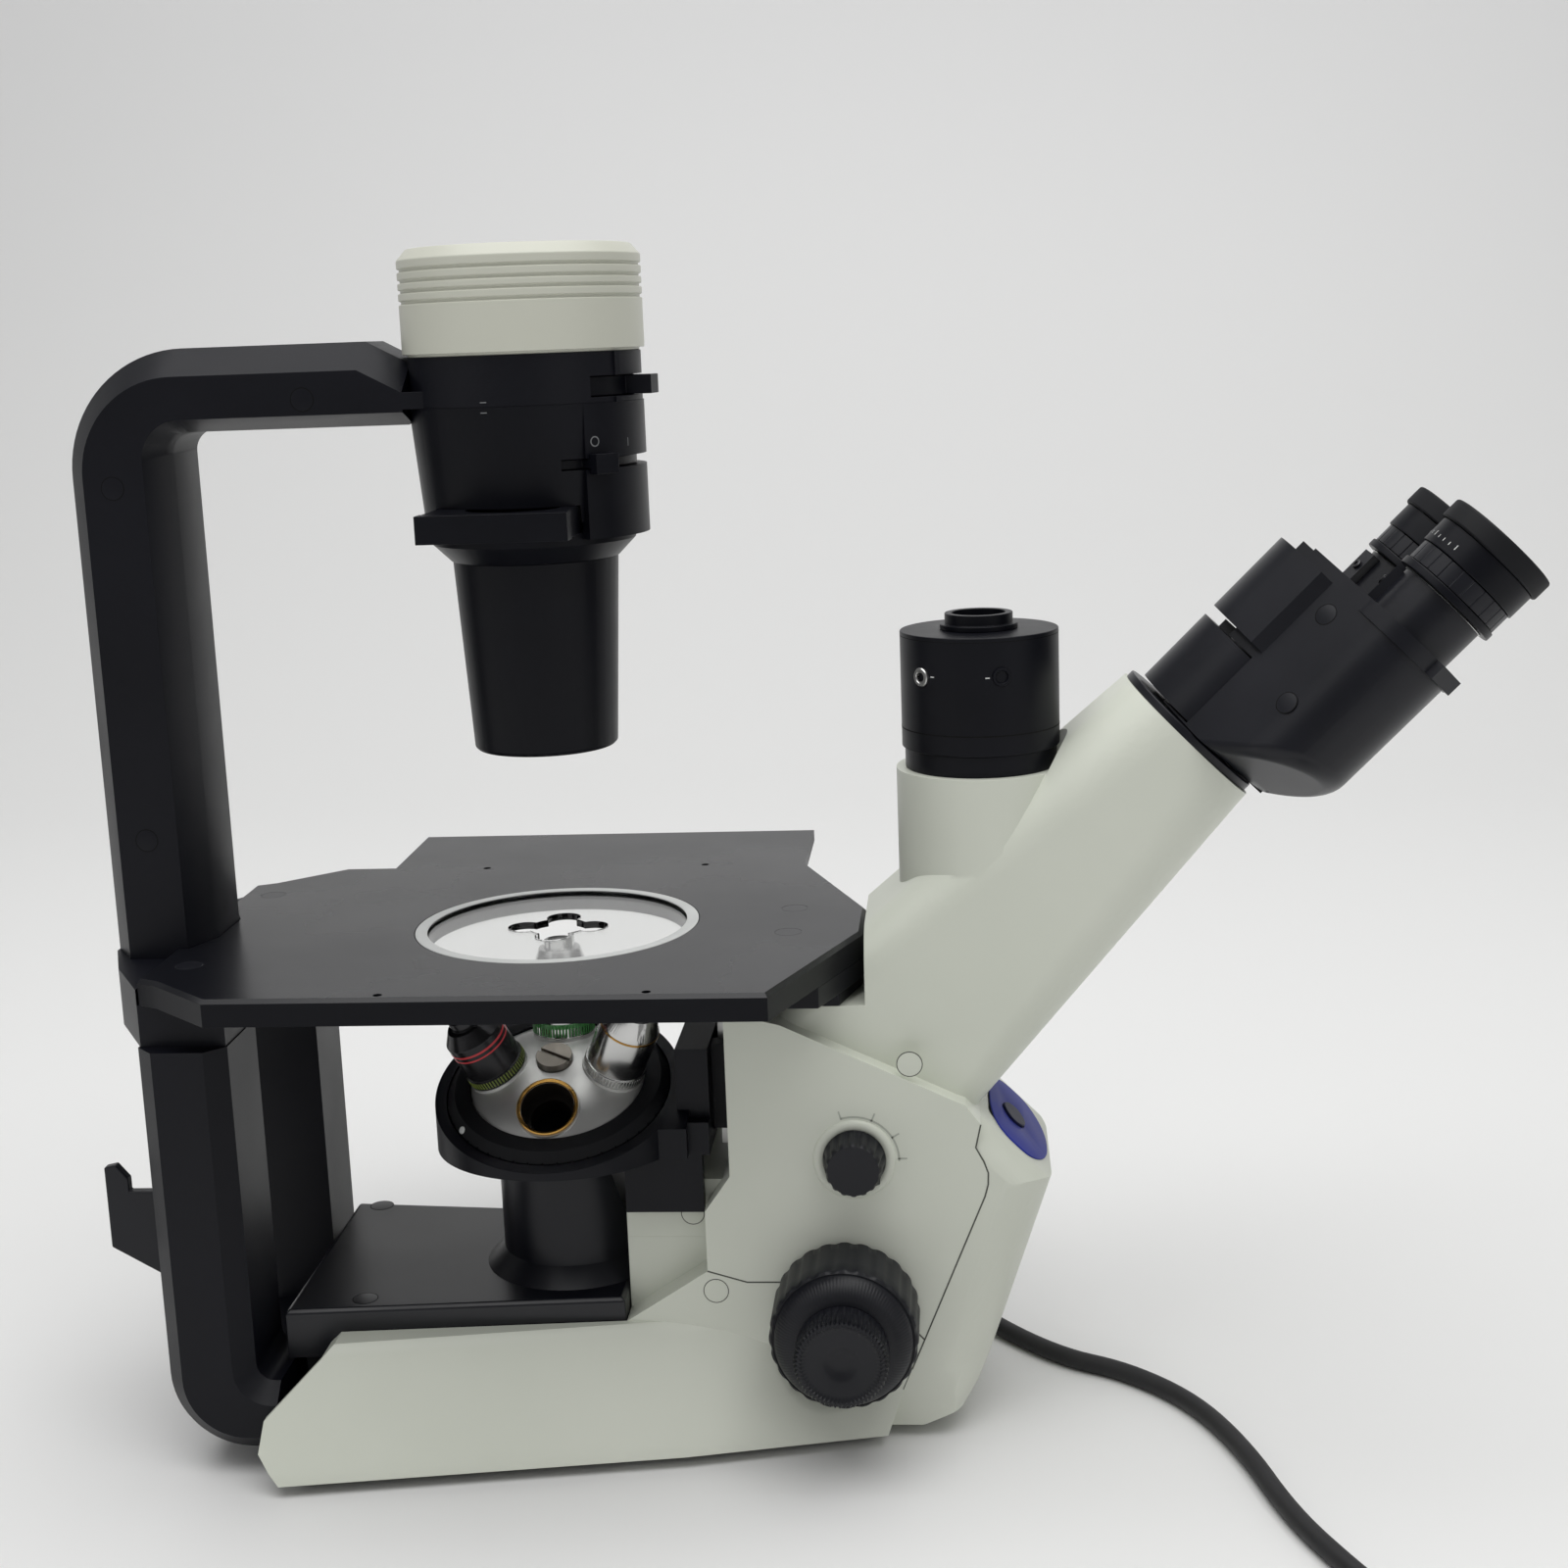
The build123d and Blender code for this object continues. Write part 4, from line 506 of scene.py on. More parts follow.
# one turned piece: a half outline of radius and height, spun about its own axis and set along another
def turnPiece(name, outline, place, axis, steps=64):
    clearPicks()
    mesh = bpy.data.meshes.new(name)
    loop = [(radius / perMetre, 0.0, height / perMetre) for radius, height in outline]
    mesh.from_pydata(loop, [(k, (k + 1) % len(loop)) for k in range(len(loop))], [])
    obj = addObject(name, mesh)
    pick(obj)
    bpy.ops.object.mode_set(mode="EDIT")
    bpy.ops.mesh.select_all(action="SELECT")
    bpy.ops.mesh.spin(steps=steps, angle=2 * math.pi, center=(0, 0, 0), axis=(0, 0, 1))
    bpy.ops.mesh.select_all(action="SELECT")
    bpy.ops.mesh.remove_doubles(threshold=turnedGap / perMetre)
    bpy.ops.mesh.normals_make_consistent(inside=False)
    bpy.ops.object.mode_set(mode="OBJECT")
    turn = Vector(axis).to_track_quat("Z", "Y").to_matrix().to_4x4()
    obj.matrix_world = Matrix.Translation(Vector(place) / perMetre) @ turn
    settle(obj)
    return obj


# soft lobes or fine ribs round a turned piece: outer points move in on a wave
def cutRibs(obj, place, axis, ribs):
    start = Vector(place) / perMetre
    slack = 1e-6
    along = Vector(axis).normalized()
    across = along.orthogonal().normalized()
    aside = along.cross(across)
    for vertex in obj.data.vertices:
        arm = vertex.co - start
        height = arm.dot(along)
        if not ribs["low"] / perMetre - slack <= height <= ribs["high"] / perMetre + slack:
            continue
        out = arm - along * height
        if out.length < ribs["inside"] / perMetre:
            continue
        angle = math.atan2(out.dot(aside), out.dot(across))
        wave = (0.5 - 0.5 * math.cos(ribs["count"] * angle)) ** ribs.get("sharp", 1.0)
        vertex.co -= out.normalized() * wave * ribs["depth"] / perMetre


def finishPiece(obj, body, slot, *names):
    for name in names:
        obj.data.materials.append(finishes[name])
    pick(obj)
    bpy.ops.object.shade_smooth_by_angle(angle=smoothAngle)
    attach(obj, body)
    return obj


def joinPieces(name, parts):
    clearPicks()
    for part in parts:
        part.select_set(True)
    bpy.context.view_layer.objects.active = parts[0]
    bpy.ops.object.join()
    parts[0].name = name
    return parts[0]


# knobs on both sides, in millimetres from the middle plane outward
focusFacts = {
    "middle": (110.7, 0.0, 53.3),
    "coarse": [
        (6.0, 45.0), (26.6, 45.0), (27.7, 46.2), (27.7, 52.0), (27.7, 58.0), (27.7, 64.0), (27.7, 69.4), (27.3, 70.6),
        (26.4, 71.2), (26.2, 70.9), (25.9, 70.9), (25.7, 71.4), (25.3, 72.6), (24.4, 74.0), (21.8, 76.6), (18.4, 77.7),
        (6.0, 77.7),
    ],
    "coarseRibs": [
        {"count": 24, "depth": 0.6, "low": 45.6, "high": 70.8, "inside": 27.0, "sharp": 1.8},
        {"count": 120, "depth": 0.3, "low": 73.8, "high": 76.7, "inside": 21.5},
    ],
    "fine": [
        (4.0, 78.4), (16.9, 78.4), (17.2, 78.8), (17.2, 84.0), (17.3, 88.4), (17.3, 89.9), (16.7, 90.8), (15.4, 91.0),
        (14.2, 90.3), (12.4, 89.9), (7.4, 89.7), (5.9, 89.2), (4.6, 88.4), (2.0, 88.1), (0.0, 88.1), (0.0, 85.0),
        (4.0, 85.0),
    ],
    "fineRibs": [
        {"count": 40, "depth": 0.5, "low": 78.6, "high": 88.2, "inside": 16.6},
        {"count": 60, "depth": 1.1, "low": 88.3, "high": 91.1, "inside": 15.2},
    ],
    "coarseSteps": 384, "fineSteps": 240,
}


def makeFocusKnobs(facts):
    for node, outline, ribs, steps in (
        ("coarse_knobs", facts["coarse"], facts["coarseRibs"], facts["coarseSteps"]),
        ("fine_knobs", facts["fine"], facts["fineRibs"], facts["fineSteps"]),
    ):
        pair = []
        for side in (-1, 1):
            knob = turnPiece("focusKnob", outline, facts["middle"], (0, side, 0), steps)
            for rib in ribs:
                cutRibs(knob, facts["middle"], (0, side, 0), rib)
            pair.append(knob)
        knobs = joinPieces(node.split("_")[0] + "Knobs", pair)
        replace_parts(finishPiece(knobs, bodyOf[node], slotOf[node], "knobBlack"), node)


makeFocusKnobs(focusFacts)

# brightness knob with its pointing nose, the collar on the wall, and the scale's embossed arc and ticks, drawn as flat
# grey strips of painted shade
brightnessFacts = {
    "middle": (115.2, 0.0, 112.6), "way": (0, -1, 0), "steps": 240, "wall": 43.0,
    "knob": [
        (0.0, 33.0), (4.0, 33.0), (4.0, 43.3), (11.3, 43.4), (11.8, 43.9), (11.5, 46.0), (11.1, 49.0), (10.7, 52.0),
        (10.4, 54.0), (9.6, 54.9), (8.6, 54.9), (0.0, 54.4),
    ],
    "nose": {"angle": -42.0, "spread": 9.0, "size": 1.3, "low": 44.2, "high": 47.5, "inside": 9.0},
    "ribs": {"count": 16, "depth": 0.8, "low": 44.2, "high": 54.4, "inside": 9.9, "sharp": 1.6},
    "collar": [(11.9, 42.9), (15.6, 42.9), (15.5, 43.3), (14.9, 43.9), (13.9, 44.2), (12.8, 44.1), (11.9, 43.6)],
    "arcRadius": 16.4, "arcWidth": 0.7, "arcFrom": 106.0, "arcTo": -2.0, "arcPieces": 28,
    "tickAngles": [106.0, 66.0, 31.0, 1.0], "tickLength": 3.4, "tickHalf": 0.3, "tickTaper": 0.8, "markHeight": 0.08,
}


# a thin strip of colour on a flat or round surface, for print, seam lines and painted shade: its corners are given as
# places in metres
def markStrip(name, rows):
    clearPicks()
    bpy.ops.mesh.primitive_grid_add(x_subdivisions=len(rows) - 1, y_subdivisions=1, size=1)
    strip = bpy.context.object
    strip.name = name
    ordered = sorted(strip.data.vertices, key=lambda vertex: (round(vertex.co.x, 4), vertex.co.y))
    for number, vertex in enumerate(ordered):
        vertex.co = rows[number // 2][number % 2]
    return strip


def makeBrightness(facts):
    middle, way, nose = facts["middle"], facts["way"], facts["nose"]
    knob = turnPiece("brightnessKnob", facts["knob"], middle, way, facts["steps"])
    cutRibs(knob, middle, way, facts["ribs"])
    for vertex in knob.data.vertices:
        arm = vertex.co - Vector(middle) / perMetre
        out = Vector((arm.x, 0, arm.z))
        if nose["low"] / perMetre < -arm.y < nose["high"] / perMetre and out.length > nose["inside"] / perMetre:
            apart = (math.degrees(math.atan2(arm.z, arm.x)) - nose["angle"]) / nose["spread"]
            vertex.co += out.normalized() * math.exp(-apart * apart) * nose["size"] / perMetre
    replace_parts(finishPiece(knob, "brightness", slotOf["brightness_knob"], "knobBlack"), "brightness_knob")
    collar = turnPiece("brightnessCollar", facts["collar"], middle, way)
    finishPiece(collar, "stand", "white_paint", "palePaint")

    def onWall(radius, angle):
        turn = math.radians(angle)
        x, z = middle[0] + radius * math.cos(turn), middle[2] + radius * math.sin(turn)
        return Vector((x, -facts["wall"] - facts["markHeight"], z)) / perMetre

    inner, count = facts["arcRadius"], facts["arcPieces"]
    angles = [facts["arcFrom"] + (facts["arcTo"] - facts["arcFrom"]) * k / count for k in range(count + 1)]
    strips = [markStrip("scaleArc", [(onWall(inner, a), onWall(inner + facts["arcWidth"], a)) for a in angles])]
    outer = inner + facts["tickLength"]
    half = math.degrees(facts["tickHalf"] / inner)
    for angle in facts["tickAngles"]:
        strips.append(markStrip("scaleTick", [
            (onWall(inner, angle + s * half), onWall(outer, angle + s * half * facts["tickTaper"])) for s in (1, -1)
        ]))
    # the scale's strips are painted shade standing in for its embossed lines
    finishPiece(joinPieces("brightnessScale", strips), "stand", "white_paint", "scaleEmbossShade")


makeBrightness(brightnessFacts)
print("knobs turned")

# round cover plugs: place, radius, slot and finish, those of the side walls on both sides of the middle plane
plugFacts = {
    "deck": {
        "deckFar": ((-93.0, 49.3, 56.7), 5.0, "black_plastic", "deckPlastic"),
        "deckNear": ((-75.6, -42.4, 56.7), 5.0, "black_plastic", "deckPlastic"),
    },
    "walls": {
        "core{}": ((51.7, 30.0, 86.0), 4.6, "white_paint", "palePaint"),
        "base{}": ((61.0, 43.0, 60.0), 4.9, "white_paint", "palePaint"),
        "body{}": ((136.7, 43.0, 149.8), 4.9, "white_paint", "palePaint"),
        "arm{}": ((-76.6, 28.5, 398.7), 4.4, "black_paint", "standPaint"),
        "pillar{}": ((-150.0, 28.5, 369.0), 4.4, "black_paint", "standPaint"),
        "pillar{}Low": ((-150.0, 28.5, 236.5), 4.4, "black_paint", "standPaint"),
    },
    "sunk": 0.2, "seamTop": 0.25, "faceTop": 0.26, "seamWidth": 0.3, "faceEdge": 0.36, "seamFrom": 0.34, "steps": 48,
}


def makePlug(name, place, axis, radius, body, slot, finish):
    seamTop, faceTop = plugFacts["seamTop"], plugFacts["faceTop"]
    outline = [
        (0.0, 0.0), (radius, 0.0), (radius, seamTop), (radius - plugFacts["seamWidth"], seamTop),
        (radius - plugFacts["faceEdge"], faceTop), (0.0, faceTop),
    ]
    start = Vector(place) - Vector(axis) * plugFacts["sunk"]
    plug = finishPiece(turnPiece(name + "Plug", outline, start, axis, plugFacts["steps"]), body, slot, finish)
    middle, along = Vector(place) / perMetre, Vector(axis).normalized()
    seamRadius = (radius - plugFacts["seamFrom"]) / perMetre
    paintFaces(
        plug, "seamShadow" if finish == "palePaint" else "seamAndShadeBlack",
        lambda face: (face.center - middle).cross(along).length > seamRadius,
    )


for name, (place, radius, slot, finish) in plugFacts["deck"].items():
    makePlug(name, place, (0, 0, 1), radius, "stand", slot, finish)
for name, ((x, y, z), radius, slot, finish) in plugFacts["walls"].items():
    for side, way in (("Near", -1), ("Far", 1)):
        makePlug(name.format(side), (x, way * y, z), (0, way, 0), radius, "stand", slot, finish)


# direction at an angle in degrees from one direction towards another that is square to it
def swing(first, second, angle):
    turn = math.radians(angle)
    return first * math.cos(turn) + second * math.sin(turn)


# eyepiece head: directions along the tube and across each swinging arm, and the arms' plugs by reach and rise
headFacts = {
    "end": (241.8, 0.0, 264.2), "armAngle": 50.8, "reach": 40.0, "shell": 22.0,
    "plugs": {"High": (24.9, 65.9), "Low": (40.6, 34.5)}, "plugRadius": 4.2,
}
headAlong = Vector((1, 0, 1)).normalized()
headDown = Vector((1, 0, -1)).normalized()
headSides = (("near", -1), ("far", 1))


def armFrame(way):
    across = swing(headDown, Vector((0, way, 0)), headFacts["armAngle"])
    return Vector(headFacts["end"]), across, headAlong.cross(across)


for side, way in headSides:
    end, across, aside = armFrame(way)
    out = aside * way
    for label, (reach, rise) in headFacts["plugs"].items():
        spot = end + across * reach + out * headFacts["shell"] + headAlong * rise
        makePlug(
            f"{side}Arm{label}", tuple(spot), tuple(out), headFacts["plugRadius"],
            f"{side}_ocular", "black_plastic", "mouldedBlack",
        )
print("plugs set")

# rings, scales and lock screws on the eyepieces
eyeFacts = {
    "silver": [(15.2, 96.7), (17.4, 96.7), (17.6, 96.9), (17.4, 97.2), (15.2, 97.2)],
    "scaleRadius": 20.46, "scaleLow": 111.0, "tickLong": 2.0, "tickShort": 1.3, "tickHalf": 0.17, "longEvery": 4,
    "ticks": range(-4, 5), "tickTurn": 9.0, "middleTurn": {"near": 118.0, "far": 60.0},
    "screw": [(0.0, 0.0), (1.9, 0.0), (1.9, 0.7), (1.5, 1.0), (0.9, 0.95), (0.8, 0.5), (0.0, 0.5)],
    "screwRise": 88.5, "screwRadius": 20.0, "screwTurn": 35.0, "screwSteps": 32,
}


def eyeMiddle(way):
    end, across, aside = armFrame(way)
    return end + across * headFacts["reach"], across, aside


def makeEyeMarks(facts):
    low = facts["scaleLow"]
    for side, way in headSides:
        middle, across, aside = eyeMiddle(way)
        body = f"{side}_ocular"
        finishPiece(turnPiece(f"{side}SleeveRing", facts["silver"], middle, headAlong), body, "steel", "turnedSteel")
        marks = []
        for number in facts["ticks"]:
            out = swing(across, aside, facts["middleTurn"][side] * way + number * facts["tickTurn"])
            edge = headAlong.cross(out) * facts["tickHalf"]
            high = low + (facts["tickShort"] if number % facts["longEvery"] else facts["tickLong"])
            rows = []
            for s in (-1, 1):
                base = middle + out * facts["scaleRadius"] + edge * s
                rows.append(((base + headAlong * low) / perMetre, (base + headAlong * high) / perMetre))
            marks.append(markStrip("eyeTick", rows))
        finishPiece(joinPieces(f"{side}EyeScale", marks), body, "steel", "tickInk")
        out = swing(across, aside, 180 - way * facts["screwTurn"])
        spot = middle + out * facts["screwRadius"] + headAlong * facts["screwRise"]
        screw = turnPiece(f"{side}LockScrew", facts["screw"], spot, out, facts["screwSteps"])
        finishPiece(screw, body, "steel", "darkSteel")


makeEyeMarks(eyeFacts)
print("eyepieces marked")

# nosepiece: the apex where its axes meet, and the angle of its own axis to the vertical and to each objective
turretFacts = {"apex": (0.0, 0.0, 90.5), "tilt": 22.0, "slotTurn": -28.0}
turretApex = Vector(turretFacts["apex"]) / perMetre
turretAlong = swing(Vector((0, 0, 1)), Vector((0, -1, 0)), turretFacts["tilt"])
turretAside = swing(Vector((0, 1, 0)), Vector((0, 0, 1)), turretFacts["tilt"])


def objectiveAxis(turn):
    return swing(turretAlong, swing(Vector((1, 0, 0)), turretAside, turn), turretFacts["tilt"])


# colour bands and knurls of the objectives: from and to by distance from the apex, radius, finish and ribs
objectiveFacts = {
    "low": {"turn": 180, "bands": [
        (60.6, 63.6, 12.15, "bandOlive", 60), (74.2, 75.0, 11.58, "bandRed", 0), (76.4, 77.4, 11.58, "bandRed", 0),
    ]},
    "mid": {"turn": 0, "bands": [(60.6, 63.6, 12.15, "turnedSteel", 60), (81.9, 83.0, 11.6, "turnedBrass", 0)]},
    "high": {"turn": 90, "bands": [(60.6, 65.6, 12.2, "bandGreen", 60), (76.0, 77.2, 11.58, "bandGreen", 0)]},
}
bandFacts = {"inner": 11.2, "step": 0.1, "edge": 0.12, "ribDepth": 0.3, "ribInside": 11.8, "ribSteps": 240, "steps": 72}


def makeBand(name, axis, low, high, radius, finish, ribs):
    inner, rim, edge = bandFacts["inner"], radius - bandFacts["step"], bandFacts["edge"]
    band = turnPiece(name, [
        (inner, low), (rim, low), (radius, low + edge), (radius, high - edge), (rim, high), (inner, high),
    ], turretFacts["apex"], axis, bandFacts["ribSteps" if ribs else "steps"])
    if ribs:
        cutRibs(band, turretFacts["apex"], axis, {
            "count": ribs, "depth": bandFacts["ribDepth"], "low": low, "high": high, "inside": bandFacts["ribInside"],
        })
    finishPiece(band, "turret", "steel", finish)


for name, facts in objectiveFacts.items():
    for number, bandRow in enumerate(facts["bands"]):
        makeBand(f"{name}Band{number}", objectiveAxis(facts["turn"]), *bandRow)

# empty place of the nosepiece: a dark bore inside a turned ring
portFacts = {
    "turn": -90, "boreRadius": 10.7, "boreLow": 30.0, "boreHigh": 59.6, "steps": 96,
    "ring": [(10.2, 59.6), (11.6, 59.6), (11.7, 59.9), (11.7, 60.8), (11.3, 61.2), (10.8, 61.2), (10.3, 60.7)],
}


def makePort(facts):
    axis = objectiveAxis(facts["turn"])
    ring = turnPiece("portRing", facts["ring"], turretFacts["apex"], axis, facts["steps"])
    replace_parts(finishPiece(ring, "turret", slotOf["port_ring"], "turnedBrass"), "port_ring")

    def inBore(face):
        arm = face.center - turretApex
        inside = facts["boreLow"] / perMetre < arm.dot(axis) < facts["boreHigh"] / perMetre
        return inside and arm.cross(axis).length < facts["boreRadius"] / perMetre

    paintFaces(dressed["turret_dome"], "boreBlack", inBore)


makePort(portFacts)
slotTurn = Matrix.Rotation(math.radians(turretFacts["slotTurn"]), 4, turretAlong)  # the pivot screw's slot
dressed["pivot_screw"].data.transform(Matrix.Translation(turretApex) @ slotTurn @ Matrix.Translation(-turretApex))

# white index dot on the grip ring
dotFacts = {
    "place": (-33.3, -41.4, 124.7), "outward": 0.76, "upward": 0.65, "steps": 32,
    "outline": [(0.0, -0.6), (1.4, -0.6), (1.5, 0.0), (1.3, 0.35), (0.8, 0.55), (0.0, 0.62)],
}


def makeDot(facts):
    out = Vector(facts["place"]) - Vector(turretFacts["apex"])
    out -= turretAlong * out.dot(turretAlong)
    axis = out.normalized() * facts["outward"] + turretAlong * facts["upward"]
    dot = turnPiece("indexDot", facts["outline"], facts["place"], axis, facts["steps"])
    finishPiece(dot, "turret", "white_paint", "tickInk")


makeDot(dotFacts)
print("nosepiece marked")

# camera adapter: two groove lines, a steel lock screw, a sunk black one and plain dashes
adapterFacts = {
    "middle": (165.5, 0.0, 0.0), "radius": 29.6, "steps": 96, "screwSteps": 36,
    "groove": [(29.3, 269.4), (29.66, 269.4), (29.66, 269.9), (29.3, 269.9)],
    "lip": [(29.3, 304.0), (29.64, 304.0), (29.64, 304.25), (29.3, 304.25)],
    "steel": {"angle": 224.0, "height": 290.8, "socketTop": 0.3, "finish": "turnedSteel", "outline": [
        (0.0, -0.4), (3.5, -0.4), (3.5, 0.6), (3.2, 1.0), (2.3, 1.0), (2.1, 0.7), (1.7, 0.7), (1.6, -0.1), (0.0, -0.1),
    ]},
    "black": {"angle": 285.0, "height": 291.5, "socketTop": 0.2, "finish": "anodisedBlack", "outline": [
        (0.0, -0.4), (3.4, -0.4), (3.5, 0.3), (3.3, 0.7), (2.5, 0.7), (2.2, 0.3), (2.1, -0.2), (0.0, -0.2),
    ]},
    "socketRadius": 2.1,
    "dashAngles": (234.0, 275.0), "dashLength": 1.6, "dashHeight": 291.2, "dashHalf": 0.22, "markHeight": 0.06,
}


def makeAdapterMarks(facts):
    middle, radius = Vector(facts["middle"]), facts["radius"]
    ahead, aside, up = Vector((1, 0, 0)), Vector((0, 1, 0)), Vector((0, 0, 1))
    for label in ("groove", "lip"):
        line = turnPiece(f"adapter{label.title()}", facts[label], middle, up, facts["steps"])
        finishPiece(line, "stand", "black_paint", "seamAndShadeBlack")
    for label in ("steel", "black"):
        head = facts[label]
        out = swing(ahead, aside, head["angle"])
        place = middle + out * radius + up * head["height"]
        screw = turnPiece(f"{label}LockScrew", head["outline"], place, out, facts["screwSteps"])
        finishPiece(screw, "stand", "steel", head["finish"])
        if label == "steel":
            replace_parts(screw, "adapter_screws")

        # each screw's socket is painted black: painted shade in the recess
        def inSocket(face):
            arm = face.center - place / perMetre
            depth = arm.dot(out)
            inside = (arm - out * depth).length < facts["socketRadius"] / perMetre
            return inside and depth < head["socketTop"] / perMetre

        paintFaces(screw, "seamAndShadeBlack", inSocket)
    dashes = []
    for angle in facts["dashAngles"]:
        rows = []
        for step in (-0.5, 0, 0.5):
            out = swing(ahead, aside, angle + math.degrees(step * facts["dashLength"] / radius))
            spot = middle + out * (radius + facts["markHeight"]) + up * facts["dashHeight"]
            rows.append(tuple((spot + up * s * facts["dashHalf"]) / perMetre for s in (-1, 1)))
        dashes.append(markStrip("lockDash", rows))
    finishPiece(joinPieces("lockDashes", dashes), "stand", "white_paint", "tickInk")


makeAdapterMarks(adapterFacts)

# condenser: a ring mark for the open diaphragm, and index lines by angle, lower and upper end, and width
condenserFacts = {
    "radius": 43.46, "ringAngle": -46.6, "ringHeight": 380.5, "ringOuter": 1.9, "ringInner": 1.45, "ringPieces": 32,
    "ticks": [
        (-99.7, 392.0, 392.35, 2.4), (-99.7, 395.6, 395.95, 2.4), (-24.0, 378.0, 381.0, 0.4), (2.0, 378.0, 381.0, 0.4),
    ],
}


def makeCondenserMarks(facts):
    def onDrum(angle, height):
        turn = math.radians(angle)
        return Vector((facts["radius"] * math.cos(turn), facts["radius"] * math.sin(turn), height)) / perMetre

    rows = []
    for step in range(facts["ringPieces"] + 1):
        turn = 2 * math.pi * step / facts["ringPieces"]
        pair = []
        for size in (facts["ringInner"], facts["ringOuter"]):
            angle = facts["ringAngle"] + math.degrees(size * math.cos(turn) / facts["radius"])
            pair.append(onDrum(angle, facts["ringHeight"] + size * math.sin(turn)))
        rows.append(tuple(pair))
    marks = [markStrip("ringMark", rows)]
    for angle, low, high, width in facts["ticks"]:
        half = math.degrees(width / 2 / facts["radius"])
        sides = (angle - half, angle + half)
        marks.append(markStrip("drumTick", [(onDrum(side, low), onDrum(side, high)) for side in sides]))
    finishPiece(joinPieces("condenserMarks", marks), "stand", "white_paint", "faintInk")


makeCondenserMarks(condenserFacts)
print("condenser and adapter marked")

# seam lines between the stand's covers, drawn as fine strips just off the side walls, by X and Z in millimetres
seamFacts = {
    "cover": [
        (131.0, 18.8), (139.8, 40.0), (151.7, 68.9), (163.6, 97.7), (164.9, 102.5), (165.0, 107.0), (163.4, 111.6),
        (160.5, 117.0), (162.5, 126.0),
    ],
    "base": [(58.0, 68.0), (73.0, 63.5), (95.0, 63.5), (118.0, 63.5), (139.8, 40.0)],
    "wall": 43.05, "width": 0.6,
    "armTurn": -33.0, "armRadius": 22.05, "armLow": 36.0, "armHigh": 74.0, "armWidth": 0.45,
}


def wallStrip(name, line, y, width):
    rows = []
    for k, (x, z) in enumerate(line):
        before, after = line[max(k - 1, 0)], line[min(k + 1, len(line) - 1)]
        along = Vector((after[0] - before[0], after[1] - before[1])).normalized()
        side = Vector((-along.y, along.x)) * width / 2
        rows.append((Vector((x - side.x, y, z - side.y)) / perMetre, Vector((x + side.x, y, z + side.y)) / perMetre))
    return markStrip(name, rows)


def makeSeams(facts):
    strips = [
        wallStrip(label + "Seam", facts[label], way * facts["wall"], facts["width"])
        for label in ("cover", "base") for way in (-1, 1)
    ]
    finishPiece(joinPieces("coverSeams", strips), "stand", "white_paint", "seamShadow")
    radius = facts["armRadius"]
    for side, way in headSides:
        middle, across, aside = eyeMiddle(way)
        rows = []
        for rise in (facts["armLow"], (facts["armLow"] + facts["armHigh"]) / 2, facts["armHigh"]):
            pair = []
            for edge in (-0.5, 0.5):
                out = swing(across, aside * way, facts["armTurn"] + math.degrees(edge * facts["armWidth"] / radius))
                pair.append((middle + out * radius + headAlong * rise) / perMetre)
            rows.append(tuple(pair))
        finishPiece(markStrip(side + "ArmSeam", rows), f"{side}_ocular", "black_plastic", "seamAndShadeBlack")


makeSeams(seamFacts)
print("seams drawn")

# blue panel on the slanted face: a thin plate over the pocket, bowed out towards the user, with an oval hole
panelFacts = {
    "half": (14.4, 30.0), "shift": 1.6, "squareness": 2.9, "bow": 4.5, "points": 120, "low": -0.06, "high": 0.6,
    "hole": (5.8, 8.3), "holeDepth": 10.0, "holePoints": 48, "rounding": 0.3, "segments": 3, "edgeAngle": 50.0,
}


def makePanel(facts):
    depth = facts["high"] - facts["low"]
    long, wide = facts["half"]
    clearPicks()
    bpy.ops.mesh.primitive_circle_add(vertices=facts["points"], radius=1, fill_type="NGON")
    plate = bpy.context.object
    plate.name = "bluePanel"
    for vertex in plate.data.vertices:
        x, y = (math.copysign(abs(c) ** (2 / facts["squareness"]), c) for c in vertex.co[:2])
        bow = facts["bow"] * (0.5 - y * y) if x > 0 else 0.0
        vertex.co = Vector((facts["shift"] + long * x + bow * max(x, 0), wide * y, -depth / 2)) / perMetre
    bpy.context.tool_settings.mesh_select_mode = (False, False, True)
    bpy.ops.object.mode_set(mode="EDIT")
    bpy.ops.mesh.select_all(action="SELECT")
    bpy.ops.mesh.extrude_region_move(TRANSFORM_OT_translate={"value": (0, 0, depth / perMetre)})
    bpy.ops.mesh.select_all(action="SELECT")
    bpy.ops.mesh.normals_make_consistent(inside=False)
    bpy.ops.object.mode_set(mode="OBJECT")
    clearPicks()
    bpy.ops.mesh.primitive_cylinder_add(
        vertices=facts["holePoints"], radius=1 / perMetre, depth=facts["holeDepth"] / perMetre)
    oval = bpy.context.object
    oval.scale = (*facts["hole"], 1)
    settle(oval)
    cut = plate.modifiers.new("buttonHole", "BOOLEAN")
    cut.operation = "DIFFERENCE"
    cut.object = oval
    cut.solver = "EXACT"
    soft = plate.modifiers.new("rounding", "BEVEL")
    soft.width = facts["rounding"] / perMetre
    soft.segments = facts["segments"]
    soft.limit_method = "ANGLE"
    soft.angle_limit = math.radians(facts["edgeAngle"])
    applyAll(plate)
    bpy.data.objects.remove(oval)
    rise = Matrix.Translation((0, 0, (facts["high"] + facts["low"]) / 2 / perMetre))
    plate.matrix_world = slantFrame @ rise
    settle(plate)
    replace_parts(finishPiece(plate, "stand", slotOf["blue_panel"], "bluePlastic"), "blue_panel")


makePanel(panelFacts)
print("panel set")

# frosted edge of the clear stage insert
rimFacts = {
    "wide": 4.6, "below": 0.3, "above": 0.06, "shoulder": 0.05, "outerEdge": 0.1, "innerEdge": 0.2, "steps": 128,
}


